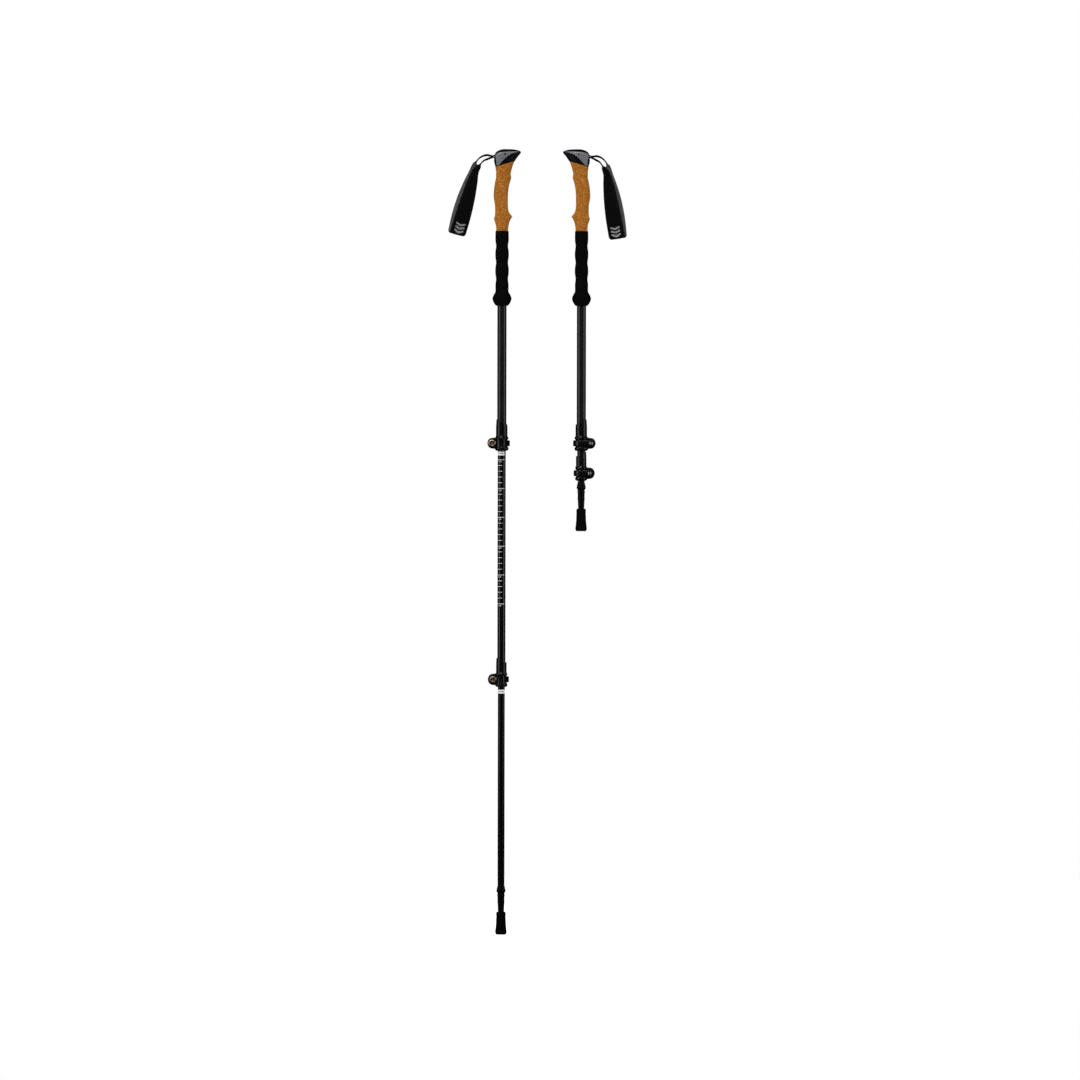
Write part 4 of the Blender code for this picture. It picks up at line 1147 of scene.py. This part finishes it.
# Length scale: a line every 50 mm with its number under it, and a short line every 10 mm.
FIRST_LINE = 823.9 * MM
LINE_LEFT = -11.6 * MM
LINE_STEP = 10 * MM
FIRST_NUMBER = 135
scale = Bundle()
for i in range(26):
    z = FIRST_LINE - LINE_STEP * i
    if i % 5 == 0:
        tick(scale, MID_RADIUS, LINE_LEFT, 5.3 * MM, z, 0.95 * MM)
        number(scale, str(FIRST_NUMBER - i), MID_RADIUS, -3.4 * MM, z - 3.3 * MM, 4.2 * MM)
    else:
        tick(scale, MID_RADIUS, LINE_LEFT, 0.8 * MM, z, 0.75 * MM)
put("length_scale", scale.mesh("length_scale", INK), "mid", "mid")


def stop_band(name, radius, top, bottom, left, right, section_name):
    """A white band that marks how far a tube may come out, with a row of dark dashes in it."""
    middle = (top + bottom) / 2
    band_print = Bundle()
    tick(band_print, radius, left, right, middle, top - bottom, steps=48)
    put(name, band_print.mesh(name, WHITE_INK), section_name, section_name)
    dashes = Bundle()
    for i in range(DASHES):
        start = (FIRST_DASH + DASH_PITCH * i) * MM
        tick(dashes, radius + PRINT_RISE, start, start + DASH, middle, DASH, steps=5)
    dash_name = name + "_dashes"
    put(dash_name, dashes.mesh(dash_name, DASH_INK), section_name, section_name)


stop_band("mid_stop_band", MID_RADIUS, 838 * MM, 831.4 * MM, -16 * MM, 5.6 * MM, "mid")
stop_band("lower_stop_band", LOWER_RADIUS, 424.8 * MM, 418.2 * MM, -14 * MM, 14 * MM, "lower")

# ---------------------------------------------------------------- clamps

CLAMP_HALF_HEIGHT = 13.2 * MM
FLANGE_OFFSET = 8.7 * MM
SPLIT = 1.6 * MM
BOLT_RADIUS = 2 * MM
LUG_FRONT = 6.5 * MM
LUG_REAR = 4.5 * MM
LUG_ROOT = 0.4  # where the lug reaches its full height, as a share of the bolt's place
LUG_ROOT_HALF = 10.6 * MM
WEB_HALF_HEIGHT = 10.2 * MM
WEB_FROM, WEB_SINKS, WEB_TO = -38, 8, 58  # degrees: its start, where it starts to sink, its end
WEB_STEPS = 32
WASHER_THICKNESS = 1 * MM
WASHER_RADIUS = 5 * MM
CAM_RADIUS = 4.2 * MM
CAM_OFFSET = 0.6 * MM
LEVER_HALF_HEIGHT = 5 * MM
LEVER_THICKNESS = 2.6 * MM
FORK_HALF_GAP = 2.5 * MM
EYE_RADIUS = 3.2 * MM
PIVOT_RADIUS = 1.5 * MM
ARM_FROM, ARM_SWEEP = 104, 84  # degrees round the collar
TIP_ROUNDING = 2.4 * MM
NUT_THICKNESS = 4.4 * MM
THREAD_IN_NUT = 3 * MM
RIB_WIDTH, RIB_PROUD, RIB_SUNK = 1.1 * MM, 0.4 * MM, 0.3 * MM
RIB_LOW, RIB_PITCH, RIB_RISE = 16.5 * MM, 3.1 * MM, 3.4 * MM
RIB_FROM, RIB_TO = math.radians(62), math.radians(26)
CLAMPS = {
    "upper": {
        "height": 852.6 * MM, "tube": UPPER_RADIUS, "inner_tube": MID_RADIUS,
        "sleeve": 9.9 * MM, "flange": 11.8 * MM, "sleeve_back": 41.5 * MM,
        "sleeve_front": 32.8 * MM, "bolt": -17 * MM, "lug": (7.9 * MM, 9.2 * MM),
        "knob": 7 * MM, "lever_tip": 14.9 * MM,
    },
    "lower": {
        "height": 442.7 * MM, "tube": MID_RADIUS, "inner_tube": LOWER_RADIUS,
        "sleeve": 9 * MM, "flange": 10.5 * MM, "sleeve_back": 37.3 * MM,
        "sleeve_front": 29.8 * MM, "bolt": -14.6 * MM, "lug": (8.8 * MM, 9.8 * MM),
        "knob": 6.6 * MM, "lever_tip": 13.9 * MM,
    },
}


def collar_shape(size):
    """Split collar: flanged ring below, sleeve above whose rim sweeps up to the back."""
    sleeve, flange = size["sleeve"], size["flange"]
    edge = 1.8 * MM
    bore = size["tube"] + 0.12 * MM
    lip = size["inner_tube"] + 0.15 * MM
    wide = [
        (lip, -CLAMP_HALF_HEIGHT),
        (lip + 1.6 * MM, -CLAMP_HALF_HEIGHT),
        (flange - 0.4 * MM, -edge - FLANGE_OFFSET - 1.2 * MM),
        (flange, -FLANGE_OFFSET - edge * 0.5),
        (flange, edge * 0.5 - FLANGE_OFFSET),
        (sleeve + 0.1 * MM, 1.5 * edge - FLANGE_OFFSET),
        (sleeve + 0.1 * MM, FLANGE_OFFSET - 1.5 * edge),
        (flange, FLANGE_OFFSET - edge * 0.5),
        (flange, FLANGE_OFFSET + edge * 0.5),
        (sleeve + 0.2 * MM, FLANGE_OFFSET + 1.8 * edge),
        (sleeve + 0.1 * MM, FLANGE_OFFSET + 3.2 * edge),
    ]
    lower = rounded(wide, 0.9 * MM, steps=4)
    start = lower[-1][1]
    rows = 14
    columns = []
    for x, y in circle(96):
        across = (1 - x) / 2
        rim = size["sleeve_front"] + (size["sleeve_back"] - size["sleeve_front"]) * smooth_step(
            (across - 0.08) / 0.84
        )
        column = list(lower)
        for i in range(1, rows + 1):
            h = start + (rim - 0.5 * MM - start) * i / rows
            narrow = smooth_step((h - 24 * MM) / (22 * MM))
            column.append((sleeve + 0.1 * MM - narrow * 0.9 * MM, h))
        outer = column[-1][0]
        for turn in (30, 60, 90):
            t = math.radians(turn)
            column.append((
                outer - 0.5 * MM * (1 - math.cos(t)), rim - 0.5 * MM + 0.5 * MM * math.sin(t)
            ))
        column += [(bore + 0.25 * MM, rim), (bore, rim - 0.3 * MM),
                   (bore, -CLAMP_HALF_HEIGHT + 4 * MM), (lip, -CLAMP_HALF_HEIGHT + 4 * MM)]
        columns.append([(radius * x, radius * y, height) for radius, height in column])
    return skin(list(zip(*columns)), loop=True)


def tube_hole(size):
    """What clears the clamp's extra pieces from the tube."""
    return cutter(rod(size["tube"] + 0.9 * MM, -30 * MM, 30 * MM, sides=96))


def pulled_in(outline, middle, inset):
    """An outline moved towards a middle by a margin in mm."""
    moved = []
    for x, y in outline:
        away = (Vector((x, y)) - middle).normalized() * inset * MM
        moved.append((x - away.x, y - away.y))
    return moved


def surface_rib(bundle, radius, start, end):
    """A raised bar with tapered ends on a cylinder, between two (angle, height) places."""
    steps = 12
    rings = []
    for i in range(steps + 1):
        t = i / steps
        angle = start[0] + (end[0] - start[0]) * t
        height = start[1] + (end[1] - start[1]) * t
        size = math.sin(math.pi * min(max(t, 0.04), 0.96)) ** 0.5
        out = Vector((math.cos(angle), math.sin(angle), 0))
        side_way = Vector((-math.sin(angle), math.cos(angle), 0))
        run = (side_way * (end[0] - start[0]) * radius + Vector((0, 0, end[1] - start[1])))
        across = run.normalized().cross(out)
        centre = out * (radius - RIB_SUNK) + Vector((0, 0, height))
        rings.append([
            centre + across * x * RIB_WIDTH / 2 * size + out * (y * (RIB_PROUD + RIB_SUNK) * size)
            for x, y in circle(10)
        ])
    bundle.add(skin(rings))


def lever_path(size, pivot):
    """The arm's centre line from the pivot, round the collar to its tip."""
    around = size["sleeve"] + 0.8 * MM + LEVER_THICKNESS / 2 + 0.25 * MM
    path = [Vector((0.5 * MM, 0.4 * MM, 0)), Vector((4 * MM, 1.4 * MM, 0))]
    for i in range(9):
        angle = math.radians(ARM_FROM - ARM_SWEEP * i / 8)
        path.append(Vector((around * math.cos(angle), around * math.sin(angle), 0)) - pivot)
    path.append(Vector((size["lever_tip"] - LEVER_THICKNESS / 2, 0.8 * MM, 0)) - pivot)
    return path


def lever_mesh(size, pivot):
    """Cam lever: rounded cam head with a fork, arm with a thumb end and grip ribs."""
    path = between(lever_path(size, pivot), 4)
    reached = [0.0]
    for one, two in zip(path, path[1:]):
        reached.append(reached[-1] + (two - one).length)
    up = Vector((0, 0, 1))
    stations = []
    for i, point in enumerate(path):
        ahead, behind = path[min(i + 1, len(path) - 1)], path[max(i - 1, 0)]
        out = (ahead - behind).normalized().cross(up)
        stations.append((point, out, reached[-1] - reached[i]))
    rings = []
    for point, out, left in stations:
        tall = LEVER_HALF_HEIGHT * (1.06 - 0.06 * smooth_step(left / (16 * MM)))
        if left < 2 * MM:
            tall *= 0.84 + 0.16 * math.sqrt(max(0.0, 1 - (1 - left / (2 * MM)) ** 2))
        thick = LEVER_THICKNESS / 2
        thick *= 1.0 if left > TIP_ROUNDING else 0.55 + 0.45 * left / TIP_ROUNDING
        rings.append([point + up * blunt(a, 2 / 5) * tall + out * blunt(b, 2 / 2.8) * thick
                      for a, b in circle(24)])
    arm = solid("arm", None, skin(rings))
    cam_line = rounded([
        (0, -LEVER_HALF_HEIGHT), (CAM_RADIUS, -LEVER_HALF_HEIGHT),
        (CAM_RADIUS, LEVER_HALF_HEIGHT), (0, LEVER_HALF_HEIGHT),
    ], 1.0 * MM, steps=5)
    cam = cutter(lathe(cam_line, sides=64), slide(0, -CAM_OFFSET, 0))
    lever = boolean(arm, cam, "UNION")
    fork = cutter(rod(CAM_RADIUS + 1.9 * MM, -FORK_HALF_GAP, FORK_HALF_GAP, 0.4 * MM))
    lever = boolean(lever, fork)
    lever = boolean(lever, cutter(rod(PIVOT_RADIUS + 0.15 * MM, -20 * MM, 20 * MM, sides=32)))
    counterbore = Bundle()
    for low, high in ((LEVER_HALF_HEIGHT - 0.5 * MM, 20 * MM),
                      (-20 * MM, 0.5 * MM - LEVER_HALF_HEIGHT)):
        counterbore.add(rod(PIVOT_RADIUS + 0.7 * MM, low, high, sides=32))
    whole = Bundle().add(as_shape(boolean(lever, counterbore.mesh("counterbore"))))
    for k in range(4):  # grip ribs across the free end, lying along the arm
        height = (k - 1.5) * 1.9 * MM
        rib_rings = []
        for point, out, left in stations:
            if not 2.2 * MM < left < 10.5 * MM:
                continue
            middle = 1 - abs((left - 6.3 * MM) / (4.4 * MM))
            size_here = 0.35 + 0.65 * smooth_step(middle * 2.5)
            centre = point + out * (-LEVER_THICKNESS / 2 + 0.05 * MM) + up * height
            rib_rings.append([
                centre + up * x * 0.5 * MM * size_here + out * y * 0.4 * MM * size_here
                for x, y in circle(10)
            ])
        whole.add(skin(rib_rings))
    return whole.mesh("lever", CLAMP, 32)


def nut_mesh(knob):
    """Thumb nut: knurled rim, domed face and a cross recess."""
    thick = NUT_THICKNESS
    line = rounded([
        (0, thick - 0.25 * MM), (0.5 * knob, thick - 0.3 * MM), (0.62 * knob, thick),
        (0.82 * knob, thick - 0.5 * MM), (knob, thick - 1.9 * MM), (knob, 0.5 * MM),
        (knob - 0.6 * MM, 0), (0, 0),
    ], 0.5 * MM)
    sides, knurls = 120, 24
    rings = []
    for radius, height in line:
        rim = smooth_step((radius - 0.9 * knob) / (0.08 * knob))
        ring = []
        for j in range(sides):
            angle = 2 * math.pi * j / sides
            wave = 0.3 * MM * rim * (0.5 + 0.5 * math.cos(knurls * angle))
            ring.append(((radius - wave) * math.cos(angle), (radius - wave) * math.sin(angle),
                         height))
        rings.append(ring)
    nut = solid("nut", None, skin(rings))
    for size in ((0.98 * knob, 1.35 * MM, 2.4 * MM), (1.35 * MM, 0.98 * knob, 2.4 * MM)):
        nut = boolean(nut, cutter(slab(size, 0.3 * MM), slide(0, 0, thick)))
    hub = cutter(rod(1.5 * MM, thick - 1.3 * MM, thick + 2 * MM, 0.2 * MM, 32))
    return tidy_mesh(boolean(nut, hub), NUT, 34)


def lug_shape(size):
    """The lug: an egg outline round the bolt that widens into the collar, softly edged."""
    wide, tall = size["lug"]
    outline = []
    for i in range(25):
        angle = math.radians(90 + 180 * i / 24)
        outline.append((size["bolt"] + wide * math.cos(angle), tall * math.sin(angle)))
    root = size["bolt"] * LUG_ROOT
    outline += [(root, -LUG_ROOT_HALF), (0, -LUG_ROOT_HALF), (0, LUG_ROOT_HALF),
                (root, LUG_ROOT_HALF)]
    outline = rounded(outline, 5 * MM, closed=True, steps=6)
    middle = Vector((size["bolt"] / 2, 0))
    layers = ((-LUG_FRONT, 1.0), (-LUG_FRONT + 0.3 * MM, 0.35), (-LUG_FRONT + 1 * MM, 0),
              (LUG_REAR - 1 * MM, 0), (LUG_REAR - 0.3 * MM, 0.35), (LUG_REAR, 1.0))
    return skin([[(x, y, z) for x, z in pulled_in(outline, middle, inset)]
                 for y, inset in layers])


def clamp_web(size, facing, low, high):
    """The web that runs from the lug's face round the collar's side, between two heights."""
    front = facing < 0
    start_x = size["bolt"] + (size["knob"] if front else WASHER_RADIUS) + 2 * GAP
    start_y = (LUG_FRONT if front else LUG_REAR) - 0.1 * MM
    plan = [(start_x, 0), (start_x, facing * start_y)]
    for k in range(WEB_STEPS + 1):
        degrees = WEB_FROM + (WEB_TO - WEB_FROM) * k / WEB_STEPS
        share = 1 - smooth_step((degrees - WEB_SINKS) / (WEB_TO - WEB_SINKS))
        angle = math.radians(degrees)
        reach = size["sleeve"] + share * (size["flange"] - size["sleeve"]) - GAP / 2
        plan.append((reach * math.sin(angle), facing * reach * math.cos(angle)))
    plan.append((0.8 * size["sleeve"], 0))
    plan = rounded(plan, 4 * MM, steps=8)
    layers = ((low, 0.8), (low + 0.3 * MM, 0.25), (low + 0.9 * MM, 0), (high - 0.9 * MM, 0),
              (high - 0.3 * MM, 0.25), (high, 0.8))
    web = skin([[(x, y, z) for x, y in pulled_in(plan, Vector((0, 0)), inset)]
                for z, inset in layers])
    return boolean(cutter(web), tube_hole(size))


def collar_mesh(size):
    """The collar with its lug, webs, split, bolt hole and grip ribs."""
    collar = solid("collar", None, collar_shape(size))
    collar = boolean(collar, boolean(cutter(lug_shape(size)), tube_hole(size)), "UNION")
    slot_edge = LEVER_HALF_HEIGHT + 2 * GAP
    for facing, low, high in ((-1, -WEB_HALF_HEIGHT, WEB_HALF_HEIGHT),
                              (1, slot_edge, WEB_HALF_HEIGHT), (1, -WEB_HALF_HEIGHT, -slot_edge)):
        collar = boolean(collar, clamp_web(size, facing, low, high), "UNION")
    split = slab((40 * MM, SPLIT, 2 * CLAMP_HALF_HEIGHT), 0.2 * MM)
    collar = boolean(
        collar, cutter(split, slide(-20 * MM - 0.4 * size["tube"], 0, -0.5 * MM))
    )
    hole = rod(BOLT_RADIUS + 0.2 * MM, -40 * MM, 40 * MM, sides=40)
    collar = boolean(collar, cutter(hole, slide(size["bolt"]) @ TO_Y))
    whole = Bundle().add(as_shape(collar))
    for facing in (-1, 1):  # three slanted grip ribs on the front of the sleeve, each side
        for k in range(3):
            low = RIB_LOW + RIB_PITCH * k
            surface_rib(whole, size["sleeve"] + 0.1 * MM, (facing * RIB_FROM, low),
                        (facing * RIB_TO, low + RIB_RISE))
    return whole.mesh("collar", CLAMP, 34)


def turned_ring(inner, outer, low, high, edge, sides):
    """A flat ring with softened edges."""
    line = [(inner, low), (outer, low), (outer, high), (inner, high)]
    return lathe(rounded(line, edge, closed=True), closed=True, sides=sides)


def bolt_mesh(size, pivot, end):
    """The tension bolt: an eye round the pivot pin and a shank through the lug."""
    shank = rod(BOLT_RADIUS, -(pivot.y - PIVOT_RADIUS), -end, 0.3 * MM, 40)
    half = FORK_HALF_GAP - 0.3 * MM
    eye = turned_ring(PIVOT_RADIUS + 0.15 * MM, EYE_RADIUS, -half, half, 0.4 * MM, 48)
    bolt = Bundle().add(shank, matrix=slide(size["bolt"]) @ TO_Y)
    return bolt.add(eye, matrix=slide(*pivot)).mesh("bolt", STEEL)


def pin_mesh():
    """The pivot pin with its stepped ends."""
    end = LEVER_HALF_HEIGHT - 0.3 * MM
    line = [(0, end), (0.6 * MM, end), (PIVOT_RADIUS, end - 0.5 * MM),
            (PIVOT_RADIUS, 0.5 * MM - end), (0.6 * MM, -end), (0, -end)]
    return solid("pivot", STEEL, lathe(rounded(line, 0.3 * MM), sides=40))


for clamp, section_name in (("upper", "upper"), ("lower", "mid")):
    size = CLAMPS[clamp]
    at = slide(0, 0, size["height"])
    washer_start = LUG_REAR + GAP
    pivot_y = washer_start + WASHER_THICKNESS + GAP + CAM_RADIUS + CAM_OFFSET
    pivot = Vector((size["bolt"], pivot_y, 0))
    pivot_at = slide(size["bolt"], pivot_y, size["height"])
    nut_back = -LUG_FRONT - GAP
    washer = turned_ring(BOLT_RADIUS + 0.3 * MM, WASHER_RADIUS, 0, WASHER_THICKNESS, 0.2 * MM, 64)
    for name, mesh, place, body, slot, node in (
        ("_clamp_body", collar_mesh(size), at, section_name, "clamp_plastic", "_clamp_collar"),
        ("_thrust_washer", solid("washer", STEEL, washer, matrix=FROM_Y),
         slide(size["bolt"], washer_start, size["height"]), section_name, "steel",
         "_clamp_washer"),
        ("_tension_bolt", bolt_mesh(size, pivot, nut_back - THREAD_IN_NUT), at, clamp + "_bolt",
         "steel", "_clamp_bolt"),
        ("_pivot_pin", pin_mesh(), pivot_at, clamp + "_bolt", "steel", "_clamp_pivot"),
        ("_cam_lever", lever_mesh(size, pivot), pivot_at, clamp + "_lever", "clamp_plastic",
         "_clamp_lever"),
        ("_thumb_nut", nut_mesh(size["knob"]),
         slide(size["bolt"], nut_back, size["height"]) @ TO_Y, clamp + "_nut", "brass",
         "_clamp_nut"),
    ):
        mesh.transform(place)
        put(clamp + name, mesh, section_name, body, [clamp + node])

# ---------------------------------------------------------------- foot

FLUTES = 18
SPLINES = 8
plug = LOWER_RADIUS - WALL - GAP
ferrule_line = rounded([(radius * MM, height * MM) for radius, height in (
    (0, 110), (plug / MM, 110), (plug / MM, 85), (6, 85), (6.5, 83.6), (7.9, 76.6), (8.05, 75.4),
    (8, 74.4), (7.3, 73.8), (6.3, 72.6), (6.15, 70), (6.3, 68.9), (6.7, 68.5), (6.7, 67.5),
    (6.3, 67.1), (6.1, 65.5), (6, 58.5), (6.3, 57), (6.3, 55.9), (5.9, 54.5), (5.3, 40),
    (4.3, 14), (2, 14), (2, 22), (0, 22),
)], 0.5 * MM)
ferrule = Bundle().add(lathe(ferrule_line))
for k in range(SPLINES):  # short splines under the ferrule's shoulder
    angle = 2 * math.pi * (k + 0.5) / SPLINES
    ferrule.add(slab((1.1 * MM, 0.9 * MM, 7 * MM), 0.25 * MM),
                matrix=Matrix.Rotation(angle, 4, "Z") @ slide(5.9 * MM, 0, 62 * MM))
put("tip_ferrule", ferrule.mesh("tip_ferrule", FERRULE), "lower", "lower",
    ["ferrule"])

boot_line = rounded([(radius * MM, height * MM) for radius, height in (
    (5.6, 39.2), (7.3, 39.2), (8.2, 37.4), (8.25, 31), (8.0, 30.4), (8.0, 29.2), (8.3, 28.6),
    (8.5, 20), (9.5, 9), (10.1, 5), (9.5, 1.7), (8.1, 0.1), (6.6, 0), (6.2, 0.9), (4.4, 0.9),
    (4.0, 0), (0, 0), (0, 4), (3.2, 4), (4.6, 13.5),
)], 0.6 * MM, closed=True)
dense = []
for one, two in zip(boot_line, boot_line[1:] + boot_line[:1]):
    dense.append(one)
    gap = math.hypot(two[0] - one[0], two[1] - one[1])
    pieces = int(gap / (1.2 * MM))
    for i in range(1, pieces):
        t = i / pieces
        dense.append((one[0] + (two[0] - one[0]) * t, one[1] + (two[1] - one[1]) * t))
sides = 144
boot_rings = []
for radius, height in dense:
    ring = []
    above, below = height - 2.6 * MM, 19 * MM - height
    window = smooth_step(above / (2 * MM)) * smooth_step(below / (4 * MM))
    outside = smooth_step((radius - 7.6 * MM) / (0.4 * MM))
    for j in range(sides):
        angle = 2 * math.pi * j / sides
        groove = max(0.0, -math.cos(FLUTES * angle)) ** 0.7
        r = radius - 0.75 * MM * groove * window * outside
        ring.append((r * math.cos(angle), r * math.sin(angle), height))
    boot_rings.append(ring)
boot = solid("foot_boot", RUBBER, skin(boot_rings, loop=True), sharp=42)
put("foot_boot", boot, "lower", "boot", ["rubber_boot"])

# Inner pieces keep their CAD shape and get their finish.
for side in SIDES:
    for node, look in (("mid_guide", GUIDE), ("lower_guide", GUIDE), ("strap_pin", STEEL),
                       ("carbide_tip", CARBIDE)):
        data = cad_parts[side + node].data
        data.materials.clear()
        data.materials.append(look)

# ---------------------------------------------------------------- floor and light

FLOOR_RADIUS = 2.4
floor_mesh = bpy.data.meshes.new("floor")
rim = [(FLOOR_RADIUS * x, FLOOR_RADIUS * y, 0) for x, y in circle(128)]
floor_mesh.from_pydata(rim, [], [tuple(range(len(rim)))])
floor_look = Look("floor_pale", Roughness=0.9, Specular_IOR_Level=0.0, Emission_Strength=0.46,
                  Emission_Color=WHITE)
floor_look.colour(floor_look.ramp(floor_look.noise(3.0), [(0.3, (0.9, 0.9, 0.9, 1)),
                                                          (0.7, (0.93, 0.93, 0.93, 1))]))
floor_mesh.materials.append(floor_look.material)
floor = linked("floor", floor_mesh)
floor.location = (0, 0, -0.3 * MM)
floor.visible_glossy = False

world = bpy.data.worlds.new("studio")
scene.world = world
world.use_nodes = True
nodes, links = world.node_tree.nodes, world.node_tree.links
background = nodes["Background"]
seen = nodes.new("ShaderNodeBackground")
seen.inputs["Color"].default_value = WHITE
seen.inputs["Strength"].default_value = 1.0
path_kind = nodes.new("ShaderNodeLightPath")
mixer = nodes.new("ShaderNodeMixShader")
direction = nodes.new("ShaderNodeTexCoord")
split = nodes.new("ShaderNodeSeparateXYZ")
fade = nodes.new("ShaderNodeMapRange")
for key, value in (("From Min", -0.3), ("From Max", 0.5), ("To Min", 0.02), ("To Max", 0.12)):
    fade.inputs[key].default_value = value
links.new(direction.outputs["Generated"], split.inputs["Vector"])
links.new(split.outputs["Y"], fade.inputs["Value"])
links.new(fade.outputs["Result"], background.inputs["Strength"])
links.new(path_kind.outputs["Is Camera Ray"], mixer.inputs["Fac"])
links.new(background.outputs["Background"], mixer.inputs[1])
links.new(seen.outputs["Background"], mixer.inputs[2])
links.new(mixer.outputs["Shader"], nodes["World Output"].inputs["Surface"])


def softbox(name, place, target, width, height, power):
    """A rectangular area light aimed at a point and not seen by the camera."""
    data = bpy.data.lights.new(name, "AREA")
    data.shape = "RECTANGLE"
    data.size = width
    data.size_y = height
    data.energy = power
    lamp = linked(name, data)
    lamp.location = place
    aim = Vector(target) - Vector(place)
    lamp.rotation_euler = aim.to_track_quat("-Z", "Y").to_euler()
    lamp.visible_camera = False
    return lamp


MIDDLE = (67 * MM, 0, 700 * MM)
softbox("key_left", (-1.9, -0.9, 1.0), MIDDLE, 0.7, 1.9, 11)
softbox("fill_right", (2.0, -0.7, 1.0), MIDDLE, 0.7, 1.9, 9)
softbox("front_top", (-0.5, -2.0, 3.0), (67 * MM, 0, 1.1), 1.6, 1.0, 34)
softbox("top", (0, 0, 4.2), (0, 0, 0), 9.0, 9.0, 300).visible_glossy = False
